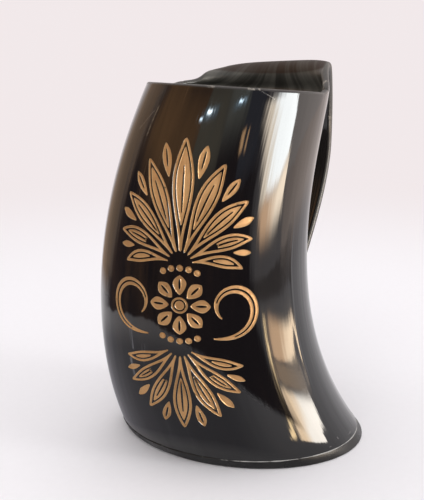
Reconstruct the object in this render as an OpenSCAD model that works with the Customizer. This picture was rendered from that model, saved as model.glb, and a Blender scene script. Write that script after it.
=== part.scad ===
// Horn drinking cup: a section of dark horn standing on its wide end, with a
// strap handle left on at the back of the mouth and bent down to the wall, a
// glued base plate, and a gilded ornament on the front.
// Millimetres. The cup stands on z = 0 and the handle points to +X.

/* [Horn] */
// Height of the rim above the table, at the middle of the mouth
rim_height = 150; // [120:1:180]
// Length of the oval foot
foot_length = 108.4; // [98:0.2:116]
// Width of the oval foot
foot_width = 86.8; // [82:0.2:98]
// Length of the oval a third of the way up
lower_length = 90.4; // [86:0.2:98]
// Length of the oval two thirds of the way up
upper_length = 83; // [79:0.2:89]
// Length of the oval mouth
mouth_length = 77.3; // [72:0.1:82]
// Width of the oval mouth
mouth_width = 73.6; // [68:0.1:78]
// Heading of the foot's long axis, from the handle
foot_turn = -77; // [-95:1:-50]
// Heading of the mouth's long axis, from the handle
mouth_turn = -25; // [-60:1:-10]
// How far the middle of the horn bows away from a straight line
bow = 21.3; // [12:0.1:24]
// Heading that the horn bows away from
bow_heading = -18; // [-45:1:0]
// How much more of the bow is low down than high up
bow_low_share = 0.1; // [0:0.01:0.3]
// How far the mouth leans along the handle's heading
mouth_lean_x = -0.9; // [-6:0.1:6]
// How far the mouth leans across the handle's heading
mouth_lean_y = 3.1; // [-6:0.1:6]
// How far the rim is drawn over to one side
mouth_shift = 1.3; // [0:0.1:3]
// Heading that the rim is drawn over to, from the handle
hook_heading = 121; // [90:1:150]
// How far the wall curls in at the rim, all round
mouth_tuck_depth = 0.5; // [0:0.1:1]
// Slope of the rim, down towards the handle
rim_slope = 5.7; // [0:0.1:10]
// Thickness of the wall at the foot
wall_foot = 5; // [3.6:0.1:6]
// Thickness of the wall at the mouth
wall_mouth = 2.6; // [2:0.1:4]

/* [Base] */
// Thickness of the base plate
plate_thick = 4; // [3:0.1:6]
// Chamfer round the bottom of the plate
plate_chamfer = 0.6; // [0.3:0.1:1]
// Height of the step that stands up inside the horn
plug_height = 3.5; // [2:0.1:6]
// Clearance round the step
plug_clearance = 0.2; // [0.1:0.05:0.4]
// Thickness of the glue between the horn and the plate
glue_thick = 0.3; // [0.2:0.05:0.5]

/* [Handle strap] */
// Half of the arc of the rim that the strap grows from, in degrees
root_arc = 72; // [60:4:76]
// Height of the strap's crest above the table
crest_height = 158.8; // [156:0.2:168]
// How much higher the crest is at its -Y edge than at its +Y edge
crest_height_step = 3.8; // [0:0.1:6]
// Reach of the crest's underside from the axis of the cup
crest_reach = 38; // [36:0.2:44]
// Width of the strap at its crest
crest_width = 50; // [40:0.2:54]
// How far the middle of the crest stands to one side
crest_shift = 3.1; // [0:0.1:6]
// How far the edges of the strap stand in from its middle at the crest
crest_hollow = 8; // [4:0.2:11]
// How much the edges run in towards each other at the crest
crest_flow_share = 0.45; // [0:0.05:0.8]
// How steeply the crest's +Y edge still rises there
crest_rise_share = 0.25; // [0:0.05:0.4]
// Height of the strap's furthest point
grip_height = 122; // [108:1:128]
// Reach of the strap's furthest point from the axis of the cup
grip_reach = 60.6; // [56:0.2:68]
// Width of the strap at its furthest point
grip_width = 28.6; // [24:0.2:36]
// How far the strap's furthest point stands to one side
grip_shift = 1.9; // [0:0.1:4]
// How far the edges of the strap stand in from its middle at that point
grip_hollow = 1.6; // [0.5:0.1:4]
// Height at which the strap meets the wall again
lap_height = 40; // [36:1:52]
// Length of wall that the strap's end lies on
lap_length = 16; // [15:0.5:18]
// Width of the strap where it meets the wall
lap_width = 23; // [18:0.5:28]
// Width of the strap's end
end_width = 17; // [14:0.5:22]
// Thickness of the strap
strap_thick = 3; // [2.4:0.1:4]
// Thickness of the glue under the strap's end
lap_glue = 0.15; // [0.1:0.05:0.3]

/* [Pins] */
// Diameter of the two pins through the strap's end
pin_d = 3; // [2:0.1:4]
// Distance between the pins
pin_pitch = 8; // [6:0.5:9]
// Wall left between a pin and the inside of the cup
pin_cover = 1.6; // [1:0.1:2]
// Clearance round a pin
pin_clearance = 0.05; // [0.02:0.01:0.1]
// How far a pin's head stands proud of the strap
pin_proud = 0.3; // [0.1:0.1:0.6]

/* [Gilded ornament] */
// Heading of the ornament's middle, from the handle
ornament_heading = 199; // [190:1:210]
// Height of the ornament's middle above the table
ornament_height = 76; // [72:1:80]
// Thickness of the gilding
gilt_thick = 0.4; // [0.3:0.05:0.6]
// Gap between the gilding and the horn
gilt_gap = 0.02; // [0.01:0.01:0.05]
// Number of leaves in the upper palmette
upper_leaves = 9; // [7:2:9]
// Length of its middle leaf
upper_leaf_length = 42; // [36:1:45]
// Number of leaves in the lower palmette
lower_leaves = 7; // [5:2:7]
// Length of its middle leaf
lower_leaf_length = 33; // [28:1:36]
// Width of a palmette's middle leaf as a share of its length
leaf_width_share = 0.21; // [0.15:0.005:0.22]
// Width of a dart between two leaves as a share of the middle leaf's length
dart_width_share = 0.11; // [0.06:0.005:0.12]
// Number of petals in the rosette
petals = 8; // [6:1:9]
// Length of a petal
petal_length = 7.6; // [6:0.1:8]
// Width of a petal
petal_width = 5.2; // [3.6:0.1:5.4]
// Radius of the rosette's eye
eye_radius = 3.2; // [2.4:0.1:3.4]
// Length of a scroll along its curve
scroll_length = 52; // [46:1:54]
// Width of a scroll
scroll_width = 3.6; // [2.4:0.1:3.8]
// Number of beads under each palmette
beads = 5; // [3:2:5]
// Radius of a bead
bead_radius = 1.3; // [0.9:0.1:1.4]

/* [Hidden] */

horn_colour = [0.09, 0.08, 0.08];
strap_colour = [0.16, 0.13, 0.12];
glue_colour = [0.80, 0.78, 0.74];
gilt_colour = [0.76, 0.60, 0.38];
pin_colour = [0.30, 0.24, 0.18];

column_step = 4;
body_rows = 15;
inner_rows = 9;
lip_rows = 3;
strap_rows = 9;
lap_rows = 5;
leaf_rows = 10;
petal_rows = 6;
scroll_rows = 22;
disc_sides = 12;
pin_sides = 32;

// A step along a share, short enough to read a direction from.
small_share = 0.01;

seam_height = plate_thick + glue_thick;
floor_height = seam_height + plug_height;
seam_share = seam_height / rim_height;

// Blends from a to b as s goes from 0 to 1.
function blend(a, b, s) = a + (b - a) * s;
function smooth(s) = s * s * (3 - 2 * s);
function unit(v) = v / norm(v);

// A cubic through four values that stand at 0, 1/3, 2/3 and 1.
function through(a, b, c, d, s) =
    let (p = s * 3)
    a * (1 - p) * (2 - p) * (3 - p) / 6
    + b * p * (2 - p) * (3 - p) / 2
    - c * p * (1 - p) * (3 - p) / 2
    + d * p * (1 - p) * (2 - p) / 6;

// A cubic Bezier curve.
function bezier(a, b, c, d, s) =
    let (r = 1 - s)
    a * r * r * r + 3 * b * r * r * s + 3 * c * r * s * s + d * s * s * s;

// Close under the rim the wall curls in, and is drawn over to one side.
rim_power_share = 12;
function rim_share(s) = pow(s, rim_power_share);

// The horn's oval at share s of its height: half length, half width, turn.
function half_length(s) =
    through(foot_length, lower_length, upper_length, mouth_length, s) / 2 - mouth_tuck_depth * rim_share(s);
function half_width(s) = blend(foot_width, mouth_width, s) / 2 - mouth_tuck_depth * rim_share(s);
function oval_turn(s) = blend(foot_turn, mouth_turn, s);
function wall_at(s) = blend(wall_foot, wall_mouth, s);

// The centre line bows away from bow_heading and leans to the mouth.
function bowed(s) = 4 * bow * s * (1 - s) * (1 + bow_low_share * (1 - 2 * s));
function centre_x(s) =
    mouth_lean_x * s - bowed(s) * cos(bow_heading) + mouth_shift * rim_share(s) * cos(hook_heading);
function centre_y(s) =
    mouth_lean_y * s - bowed(s) * sin(bow_heading) + mouth_shift * rim_share(s) * sin(hook_heading);

// Above the seam the ovals tilt, little by little, to the slope of the rim.
function tilt_share(s) = max(0, (s - seam_share) / (1 - seam_share));

// A point of the wall at heading a and share s of the height. Inset is how
// far it stands inside the outer face; a negative inset stands outside.
function wall_point(a, s, inset = 0) =
    let (
        turn = oval_turn(s),
        u = (half_length(s) - inset) * cos(a - turn),
        v = (half_width(s) - inset) * sin(a - turn),
        x = centre_x(s) + u * cos(turn) - v * sin(turn),
        y = centre_y(s) + u * sin(turn) + v * cos(turn),
        z = rim_height * s - tan(rim_slope) * tilt_share(s) * (x - mouth_lean_x)
    )
    [x, y, z];

// The wall's direction up at that point.
function wall_up(a, s, inset = 0) =
    unit(wall_point(a, s, inset) - wall_point(a, s - small_share, inset));

headings = [for (a = [0 : column_step : 360 - column_step]) a];
function ring(s, inset = 0) = [for (a = headings) wall_point(a, s, inset)];

// Triangles that join rings of n points, one after the other. Rings go up on
// the outside. Round joins the last ring to the first.
function joined(n, first, second) = [
    for (i = [0 : n - 1])
    let (j = (i + 1) % n)
    each [[first + i, second + j, first + j], [first + i, second + i, second + j]]
];

// A tube from a list of rings, closed where the last ring meets the first.
module ring_tube(rings) {
    n = len(rings[0]);
    k = len(rings);
    polyhedron(
        points = [for (r = rings) each r],
        faces = [for (i = [0 : k - 1]) each joined(n, i * n, ((i + 1) % k) * n)],
        convexity = 6
    );
}

// Triangles that close a ring of n points. The second half of the ring runs
// back along the first, so each triangle stays inside it.
function capped(n, first) = [
    for (i = [0 : n / 2 - 2])
    let (a = first + i, b = first + n - 1 - i)
    each [[a, a + 1, b], [a + 1, b - 1, b]]
];
function turned(faces) = [for (f = faces) [f[0], f[2], f[1]]];

// A solid from a list of rings, closed at both ends.
module ring_stack(rings) {
    n = len(rings[0]);
    k = len(rings);
    polyhedron(
        points = [for (r = rings) each r],
        faces = [
            for (i = [0 : k - 2]) each joined(n, i * n, (i + 1) * n),
            each capped(n, 0),
            each turned(capped(n, (k - 1) * n))
        ],
        convexity = 4
    );
}

// The lip is rounded, except where the strap grows out of it.
lip_margin = 12;
function lip_round(a) =
    let (off = abs(a > 180 ? a - 360 : a) - root_arc)
    smooth(min(1, max(0, off / lip_margin)));
function lip_point(a, turn_share) =
    let (
        half = wall_mouth / 2,
        round = lip_round(a),
        rise = half * sin(180 * turn_share) * round,
        inset = blend(wall_mouth * turn_share, half * (1 - cos(180 * turn_share)), round)
    )
    wall_point(a, 1, inset) + [0, 0, rise - half * round];

// Rows of the wall stand a little closer together towards the rim.
row_power_share = 0.9;
function body_row(i) = blend(seam_share, 1, pow(i / body_rows, row_power_share));
function inner_row(i) = blend(seam_share, 1, pow(i / inner_rows, row_power_share));
function row_point(a, s, inset) =
    wall_point(a, s, inset) - [0, 0, wall_mouth / 2 * lip_round(a) * rim_share(s)];

// Both pins stand square to the wall, in blind holes, so the cup holds water.
pin_shares = [
    for (at = [-0.5, 0.5]) (lap_height - lap_length / 2 + at * pin_pitch) / rim_height
];
function pin_depth(share) = wall_at(share) - pin_cover;
module at_pin(share) {
    up = wall_up(0, share);
    translate(wall_point(0, share))
        rotate([0, atan2(up[0], up[2]) + 90, 0])
        translate([0, 0, -pin_depth(share)])
        children();
}

module pin_holes() {
    for (share = pin_shares)
        at_pin(share)
            cylinder(
                d = pin_d + 2 * pin_clearance,
                h = pin_depth(share) + lap_glue + 2 * strap_thick,
                $fn = pin_sides
            );
}

module horn_body() {
    color(horn_colour)
    difference() {
        ring_tube([
            for (i = [0 : body_rows - 1]) [for (a = headings) row_point(a, body_row(i), 0)],
            for (i = [0 : lip_rows + 1]) [for (a = headings) lip_point(a, i / (lip_rows + 1))],
            for (i = [inner_rows - 1 : -1 : 0])
                [for (a = headings) row_point(a, inner_row(i), wall_at(inner_row(i)))],
        ]);
        pin_holes();
    }
}

module base_plate() {
    chamfer_share = plate_chamfer / rim_height;
    top_share = plate_thick / rim_height;
    inset = wall_at(seam_share) + plug_clearance;
    color(horn_colour)
    union() {
        ring_stack([ring(0, plate_chamfer), ring(chamfer_share), ring(top_share)]);
        ring_stack([
            [for (p = ring(seam_share, inset)) [p[0], p[1], plate_thick]],
            [for (p = ring(seam_share, inset)) [p[0], p[1], floor_height]],
        ]);
    }
}

module base_glue() {
    inset = wall_at(seam_share);
    color(glue_colour)
    ring_tube([
        [for (p = ring(seam_share)) [p[0], p[1], plate_thick]],
        ring(seam_share),
        ring(seam_share, inset),
        [for (p = ring(seam_share, inset)) [p[0], p[1], plate_thick]],
    ]);
}

// The strap's underside, which goes on from the horn's outer face. Across goes
// from -1 to 1 over its width, and along from 0 to 4: root to crest, crest to
// grip, grip to lap, and the lap.
root_pull = 4.6;
far_root_pull = 1;
square_from_share = 0.5;
crest_pull_in = 4.5;
crest_pull_out = 5.4;
grip_pull_up = 16.5;
grip_pull_down = 31;
lap_pull = 7;
lap_share = lap_height / rim_height;
end_share = (lap_height - lap_length) / rim_height;
function crest_point(w) =
    [
        crest_reach - crest_hollow * w * w,
        crest_shift + crest_width / 2 * w,
        crest_height - strap_thick - crest_height_step / 2 * w
    ];
function crest_flow(w) = [1, -crest_flow_share * w, crest_rise_share * (w + 1) / 2];
function grip_point(w) =
    [
        grip_reach - strap_thick - grip_hollow * w * w,
        grip_shift + grip_width / 2 * w,
        grip_height
    ];
function lap_heading(w, s) =
    let (
        share = min(1, (lap_share - s) / (lap_share - end_share)),
        width = blend(end_width, lap_width, sqrt(1 - share * share))
    )
    width / (half_length(s) + half_width(s)) * w * 180 / PI;
function lap_point(w, s) = wall_point(lap_heading(w, s), s, -lap_glue);
function strap_point(w, along) =
    along < 1 ? bezier(
        wall_point(w * root_arc, 1),
        wall_point(w * root_arc, 1)
            + blend(root_pull, far_root_pull, (w + 1) / 2) * wall_up(w * root_arc, 1),
        crest_point(w) - crest_pull_in * crest_flow(w),
        crest_point(w), along)
    : along < 2 ? bezier(
        crest_point(w),
        crest_point(w) + crest_pull_out * crest_flow(w),
        grip_point(w) + [0, 0, grip_pull_up],
        grip_point(w), along - 1)
    : along < 3 ? bezier(
        grip_point(w),
        grip_point(w) - [0, 0, grip_pull_down],
        lap_point(w, lap_share) + lap_pull * wall_up(lap_heading(w, lap_share), lap_share),
        lap_point(w, lap_share), along - 2)
    : lap_point(w, blend(lap_share, end_share, along - 3));

// Straight through the strap, from its underside to its top.
function strap_through(w, along) =
    let (
        a = min(along, 4 - small_share),
        up = strap_point(w, a + small_share) - strap_point(w, a),
        side = strap_point(w + small_share, a) - strap_point(w - small_share, a),
        square = strap_thick * unit(cross(up, side)),
        root = wall_point(w * root_arc, 1, wall_mouth) - wall_point(w * root_arc, 1)
    )
    blend(root, square, smooth(min(1, along / square_from_share)));

strap_columns = round(2 * root_arc / column_step);
function strap_section(along) = [
    for (i = [0 : strap_columns])
        strap_point(2 * i / strap_columns - 1, along),
    for (i = [strap_columns : -1 : 0])
        strap_point(2 * i / strap_columns - 1, along)
            + strap_through(2 * i / strap_columns - 1, along)
];

module handle_strap() {
    color(strap_colour)
    difference() {
        ring_stack([
            for (part = [0 : 2], i = [0 : strap_rows - 1]) strap_section(part + i / strap_rows),
            for (i = [0 : lap_rows]) strap_section(3 + i / lap_rows),
        ]);
        pin_holes();
    }
}

module strap_pins() {
    color(pin_colour)
    for (share = pin_shares)
        at_pin(share)
            cylinder(
                d = pin_d,
                h = pin_depth(share) + lap_glue + strap_thick + pin_proud,
                $fn = pin_sides
            );
}

// The ornament is drawn on a flat sheet, p across and q up, and laid on the
// wall round its middle.
girth = half_length(0.5) + half_width(0.5);
front_top = wall_point(ornament_heading, 1)[2];
function sideways(s) =
    centre_y(s) * cos(ornament_heading) - centre_x(s) * sin(ornament_heading);
// The heading of the ornament's middle line, which stays in one upright plane.
function middle_heading(s) =
    let (radius = (half_length(s) + half_width(s)) / 2)
    ornament_heading - asin((sideways(s) - sideways(0.5)) / radius);
function on_wall(p, q, out) =
    let (
        s = (ornament_height + q) / front_top,
        a = middle_heading(s) + 2 * p / girth * 180 / PI
    )
    wall_point(a, s, -out);

// Points of a curve that starts at start, heading dir, and turns more and
// more as it goes, by turn in all.
function curl(start, dir, turn, power, length, rows) = [
    for (
        i = 0, p = start;
        i <= rows;
        p = p + length / rows * [
            cos(dir + turn * pow((i + 0.5) / rows, power)),
            sin(dir + turn * pow((i + 0.5) / rows, power))
        ],
        i = i + 1
    ) p
];
function curl_heading(dir, turn, power, rows, i) = dir + turn * pow(i / rows, power);

// One leaf or scroll of gilding on a curl, widest at share belly. Swell is how
// late it grows wide on the way there.
blunt_share = 0.14;
module frond(start, dir, turn, power, length, width, rows, belly, swell = 1, mirrored = 1) {
    spine = curl(start, dir, turn, power, length, rows);
    function half(i) =
        let (
            s = i / rows,
            r = s < belly ? pow(sin(90 * s / belly), swell) : sin(90 * (1 - s) / (1 - belly))
        )
        width / 2 * blend(blunt_share, 1, r);
    function edge(i, side) =
        let (h = curl_heading(dir, turn, power, rows, i))
        spine[i] + side * half(i) * [-sin(h), cos(h)];
    function section(i) = [
        let (e = edge(i, -1)) on_wall(mirrored * e[0], e[1], gilt_gap),
        let (e = edge(i, 1)) on_wall(mirrored * e[0], e[1], gilt_gap),
        let (e = edge(i, 1)) on_wall(mirrored * e[0], e[1], gilt_gap + gilt_thick),
        let (e = edge(i, -1)) on_wall(mirrored * e[0], e[1], gilt_gap + gilt_thick),
    ];
    rows_in_order = mirrored > 0 ? [0 : rows] : [rows : -1 : 0];
    ring_stack([for (i = rows_in_order) section(i)]);
}

// A round patch of gilding.
module medallion(p, q, r) {
    function disc(out) = [
        for (i = [0 : disc_sides - 1])
            let (a = 360 * i / disc_sides)
            on_wall(p + r * cos(a), q + r * sin(a), out)
    ];
    ring_stack([disc(gilt_gap), disc(gilt_gap + gilt_thick)]);
}

// The rosette stands a little below the ornament's middle, and the palmettes
// grow from hearts above and below it.
rosette_q = -4;
heart_clearance = 5;
heart_gap = eye_radius + petal_length + heart_clearance;
upper_heart = rosette_q + heart_gap;
lower_heart = rosette_q - heart_gap;
leaf_fan = 20;
leaf_root = 4.4;
leaf_turn = 11;

// Each leaf is shorter and narrower than the one before, out from the middle.
leaf_shrink_share = 0.13;
leaf_slim_share = 0.8;
leaf_bend_share = 1.6;
leaf_belly_share = 0.62;
leaf_swell_share = 1.9;
function leaf_size(n) = 1 - leaf_shrink_share * n;
function leaf_start(n) = leaf_root * [cos(90 - n * leaf_fan), sin(90 - n * leaf_fan)];
function leaf_curl(n, length) =
    curl(
        leaf_start(n),
        90 - n * leaf_fan,
        -leaf_turn * n,
        leaf_bend_share,
        length * leaf_size(n),
        leaf_rows
    );
module leaf(length, n, heart, way, side) {
    start = leaf_start(n);
    frond(
        [start[0], heart + way * start[1]],
        way * (90 - n * leaf_fan),
        -way * leaf_turn * n,
        leaf_bend_share,
        length * leaf_size(n),
        leaf_width_share * length * pow(leaf_size(n), leaf_slim_share),
        leaf_rows,
        leaf_belly_share,
        leaf_swell_share,
        side
    );
}

// A dart fills the space between the tips of two leaves. It starts on the
// line that a leaf between the two would follow.
dart_row = 7;
dart_length_share = 0.33;
dart_belly_share = 0.6;
module dart(length, n, heart, way, side) {
    start = leaf_curl(n, length)[dart_row];
    dir = curl_heading(90 - n * leaf_fan, -leaf_turn * n, leaf_bend_share, leaf_rows, dart_row);
    frond(
        [start[0], heart + way * start[1]],
        way * dir,
        0,
        1,
        dart_length_share * length * leaf_size(n),
        dart_width_share * length * leaf_size(n),
        petal_rows,
        dart_belly_share,
        1,
        side
    );
}

module palmette(count, length, heart, way) {
    half = (count - 1) / 2;
    for (i = [-half : half])
        leaf(length, abs(i), heart, way, i < 0 ? -1 : 1);
    for (side = [-1, 1], i = [1 : half])
        dart(length, i - 1 / 2, heart, way, side);
}

module gilt_upper_palmette() {
    color(gilt_colour) palmette(upper_leaves, upper_leaf_length, upper_heart, 1);
}

module gilt_lower_palmette() {
    color(gilt_colour) palmette(lower_leaves, lower_leaf_length, lower_heart, -1);
}

petal_gap = 0.8;
petal_belly_share = 0.6;
module gilt_rosette() {
    color(gilt_colour) {
        medallion(0, rosette_q, eye_radius);
        for (i = [0 : petals - 1]) {
            dir = 360 * i / petals + 90;
            start = (eye_radius + petal_gap) * [cos(dir), sin(dir)];
            frond(
                [start[0], rosette_q + start[1]],
                dir,
                0,
                1,
                petal_length,
                petal_width,
                petal_rows,
                petal_belly_share
            );
        }
    }
}

// Each scroll starts beside the lower palmette's heart and curls out and up.
scroll_start_reach = 11.6;
scroll_start_height = 3.2;
scroll_heading = -4;
scroll_turn = 330;
scroll_bend_share = 1.5;
scroll_belly_share = 0.5;
module gilt_scrolls() {
    color(gilt_colour)
    for (side = [-1, 1])
        frond(
            [scroll_start_reach, lower_heart + scroll_start_height],
            scroll_heading,
            scroll_turn,
            scroll_bend_share,
            scroll_length,
            scroll_width,
            scroll_rows,
            scroll_belly_share,
            1,
            side
        );
}

// The beads stand on arcs round the rosette, under the palmettes' hearts.
bead_clearance = 1.6;
bead_spread_share = 2.6;
bead_reach = heart_gap - bead_clearance;
bead_turn = bead_spread_share * bead_radius / bead_reach * 180 / PI;
module gilt_beads() {
    color(gilt_colour)
    for (way = [-1, 1], i = [0 : beads - 1]) {
        off = (i - (beads - 1) / 2) * bead_turn;
        medallion(bead_reach * sin(off), rosette_q + way * bead_reach * cos(off), bead_radius);
    }
}

horn_body();
handle_strap();
base_plate();
base_glue();
strap_pins();
gilt_upper_palmette();
gilt_lower_palmette();
gilt_rosette();
gilt_scrolls();
gilt_beads();
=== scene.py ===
"""A drinking cup of dark polished horn with a strap handle and a gilded, sunk ornament.

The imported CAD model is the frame. Metres, +Z up; the cup stands on z = 0 and the
handle points to +X. The horn's form repeats the CAD model's own formulas.
"""
import logging
import math
from dataclasses import dataclass, field
from enum import Enum
from typing import Any, Sequence

import bmesh
import bpy
import numpy as np
from mathutils import Matrix, Vector
from mathutils.geometry import delaunay_2d_cdt


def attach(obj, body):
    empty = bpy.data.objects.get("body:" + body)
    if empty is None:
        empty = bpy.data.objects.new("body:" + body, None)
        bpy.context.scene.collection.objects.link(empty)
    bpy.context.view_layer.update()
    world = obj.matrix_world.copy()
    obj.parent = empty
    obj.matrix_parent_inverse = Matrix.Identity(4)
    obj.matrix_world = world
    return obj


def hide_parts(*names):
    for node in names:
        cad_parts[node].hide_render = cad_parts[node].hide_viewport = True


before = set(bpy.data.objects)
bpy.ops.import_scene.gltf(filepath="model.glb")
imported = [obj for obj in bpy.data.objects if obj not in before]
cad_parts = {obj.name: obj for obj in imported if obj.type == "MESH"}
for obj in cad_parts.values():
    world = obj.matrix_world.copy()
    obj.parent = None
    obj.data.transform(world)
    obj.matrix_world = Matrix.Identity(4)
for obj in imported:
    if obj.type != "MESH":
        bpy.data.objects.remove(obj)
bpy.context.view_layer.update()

LOG = logging.getLogger("horn_cup")
MM = 0.001
BODY = "root"
Array = np.ndarray
Pair = tuple[float, float]
Triple = tuple[float, float, float]
Colour = Triple
Face = tuple[int, ...]
Sides = tuple[float, float, float, float]


class Slot(Enum):
    """The record's material slots."""

    HORN = "horn"
    PLATE = "horn_plate"
    GLUE = "glue"
    GILDING = "gilding"
    PIN = "pin_horn"


class Cut(Enum):
    """What lies inside an outline of the ornament: a sunk pocket, or horn left standing."""

    POCKET = 1
    ISLAND = -1


# ---------------------------------------------------------------- numbers


def blend(a: Any, b: Any, s: Any) -> Any:
    """Blend from a to b as s goes from 0 to 1."""
    return a + (b - a) * s


def smooth(s: Any) -> Any:
    """Ease s from 0 to 1."""
    s = np.clip(s, 0.0, 1.0)
    return s * s * (3 - 2 * s)


def unit(v: Array) -> Array:
    """Scale vectors to length 1."""
    return v / np.maximum(np.linalg.norm(v, axis=-1, keepdims=True), 1e-12)


def stacked(*parts: Any) -> Array:
    """Join coordinates into vectors along a last axis."""
    return np.stack(np.broadcast_arrays(*parts), axis=-1)


def ray(degrees: Any) -> Array:
    """The direction of a heading on a flat sheet."""
    return stacked(np.cos(np.radians(degrees)), np.sin(np.radians(degrees)))


def signed(heading: Any) -> Any:
    """A heading between -180 and 180 degrees."""
    return (heading + 180) % 360 - 180


def pulled_curve(a: Array, b: Array, c: Array, d: Array, s: Any) -> Array:
    """A smooth curve from a to d, pulled towards b and c, at s from 0 to 1."""
    r = 1 - s
    return a * r * r * r + 3 * b * r * r * s + 3 * c * r * s * s + d * s * s * s


def waves(x: Any, y: Any, seed: int, count: int) -> Any:
    """A smooth uneven field made of a few plane waves.

    Args:
        x, y: Where to read it, in wave lengths.
        seed: Which field.
        count: How many waves it adds.

    Returns:
        Values of about -1 to 1.
    """
    draw = np.random.default_rng(seed)
    total = 0.0
    for _ in range(count):
        angle, pace = draw.uniform(0, 2 * math.pi), draw.uniform(0.6, 1.6)
        phase = draw.uniform(0, 6.28)
        along = x * math.cos(angle) + y * math.sin(angle)
        total = total + np.sin(2 * math.pi * pace * along + phase)
    return total / count ** 0.5 / 1.2


# ------------------------------------------------------------- horn and strap


@dataclass(frozen=True)
class HornForm:
    """The horn's ovals, bow and wall. Metres and degrees.

    Share s of the height goes from 0 at the foot to 1 at the rim. Headings are
    counted from the handle.
    """

    rim_height: float = 0.150
    foot_length: float = 0.1084
    foot_width: float = 0.0868
    lower_length: float = 0.0904
    upper_length: float = 0.083
    mouth_length: float = 0.0773
    mouth_width: float = 0.0736
    foot_turn: float = -77.0
    mouth_turn: float = -25.0
    bow: float = 0.0213
    bow_heading: float = -18.0
    bow_low_share: float = 0.1
    mouth_lean_x: float = -0.0009
    mouth_lean_y: float = 0.0031
    mouth_hook: float = 0.0013
    mouth_hook_heading: float = 121.0
    mouth_tuck: float = 0.0005
    rim_power: float = 12.0
    rim_slope: float = 5.7
    wall_foot: float = 0.005
    wall_mouth: float = 0.0026
    seam_height: float = 0.0043
    root_arc: float = 72.0
    root_margin: float = 12.0
    hollow: float = 0.00016
    ridge_heading: float = -95.5
    ridge_spread: float = 1.0
    ridge_wander: float = 0.3
    ridge_height: float = 0.00012
    ridge_span: Pair = (0.17, 0.74)
    ridge_fades: Pair = (0.12, 0.16)

    @property
    def seam_share(self) -> float:
        """Share of the height at which the horn begins."""
        return self.seam_height / self.rim_height

    def half_length(self, s: Any) -> Any:
        """Half the oval's length: a cubic through four lengths.

        Args:
            s: Share of the height.

        Returns:
            Half the length.
        """
        p = s * 3
        cubic = (self.foot_length * (1 - p) * (2 - p) * (3 - p) / 6
                 + self.lower_length * p * (2 - p) * (3 - p) / 2
                 - self.upper_length * p * (1 - p) * (3 - p) / 2
                 + self.mouth_length * p * (1 - p) * (2 - p) / 6)
        return cubic / 2 - self.mouth_tuck * s ** self.rim_power

    def half_width(self, s: Any) -> Any:
        """Half the oval's width at share s of the height."""
        width = blend(self.foot_width, self.mouth_width, s)
        return width / 2 - self.mouth_tuck * s ** self.rim_power

    def girth(self, s: Any) -> Any:
        """Twice the oval's mean radius at share s of the height."""
        return self.half_length(s) + self.half_width(s)

    def wall_at(self, s: Any) -> Any:
        """The wall's thickness at share s of the height."""
        return blend(self.wall_foot, self.wall_mouth, s)

    def centre(self, s: Any) -> Array:
        """The middle of the oval, which bows and leans, and hooks over close to the rim.

        Args:
            s: Share of the height.

        Returns:
            Its x and y.
        """
        s = np.asarray(s)[..., None]
        bowed = 4 * self.bow * s * (1 - s) * (1 + self.bow_low_share * (1 - 2 * s))
        hook = self.mouth_hook * s ** self.rim_power
        lean = np.array([self.mouth_lean_x, self.mouth_lean_y])
        return lean * s - bowed * ray(self.bow_heading) + hook * ray(self.mouth_hook_heading)

    def wall_point(self, heading: Any, s: Any, inset: Any = 0.0) -> Array:
        """A point of the wall.

        Args:
            heading: Its heading.
            s: Its share of the height.
            inset: How far it stands inside the outer face.

        Returns:
            Points, with x, y and z on the last axis.
        """
        turn = blend(self.foot_turn, self.mouth_turn, s)
        off, turned = np.radians(heading - turn), np.radians(turn)
        u = (self.half_length(s) - inset) * np.cos(off)
        v = (self.half_width(s) - inset) * np.sin(off)
        middle = self.centre(s)
        x = middle[..., 0] + u * np.cos(turned) - v * np.sin(turned)
        y = middle[..., 1] + u * np.sin(turned) + v * np.cos(turned)
        tilt = np.maximum(0, (s - self.seam_share) / (1 - self.seam_share))
        slope = math.tan(math.radians(self.rim_slope))
        return stacked(x, y, self.rim_height * s - slope * tilt * (x - self.mouth_lean_x))

    def wall_up(self, heading: Any, s: Any) -> Array:
        """The wall's direction up."""
        small = 0.01
        return unit(self.wall_point(heading, s) - self.wall_point(heading, s - small))

    def lip_round(self, heading: Any) -> Any:
        """How round the lip is: 1 all round, and 0 where the strap grows from it."""
        return smooth((np.abs(signed(heading)) - self.root_arc) / self.root_margin)

    def ridge(self, heading: Any, s: Any) -> Any:
        """The fine ridge that wanders up one side.

        Args:
            heading: Heading of the place.
            s: Its share of the height.

        Returns:
            1 on the ridge, 0 away from it.
        """
        wander = self.ridge_wander * np.sin(23 * s + 2 * np.sin(9 * s))
        off = signed(heading - self.ridge_heading - wander)
        (low, high), (fade_in, fade_out) = self.ridge_span, self.ridge_fades
        ends = smooth((s - low) / fade_in) * smooth((high - s) / fade_out)
        return np.exp(-(off / self.ridge_spread) ** 2) * ends

    def surface(self, heading: Any, s: Any, inset: Any = 0.0) -> Array:
        """A point of the worked wall: hand-scraped, so a little hollow here and there.

        Args:
            heading: Its heading.
            s: Its share of the height.
            inset: How far it stands inside the outer face.

        Returns:
            Points, with x, y and z on the last axis.
        """
        turn = np.radians(heading)
        uneven = waves(np.cos(turn) * 1.1 + s * 0.4, np.sin(turn) * 1.1 - s * 1.3, 7, 6)
        hollow = self.hollow * (0.5 + 0.42 * uneven) - self.ridge_height * self.ridge(heading, s)
        worked = smooth(s / 0.12) * smooth((1 - s) / 0.08)
        rim = np.minimum(1, s) ** self.rim_power
        drop = self.wall_mouth / 2 * self.lip_round(heading) * rim
        return (self.wall_point(heading, s, inset + hollow * worked)
                - stacked(0 * drop, 0 * drop, drop))

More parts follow.
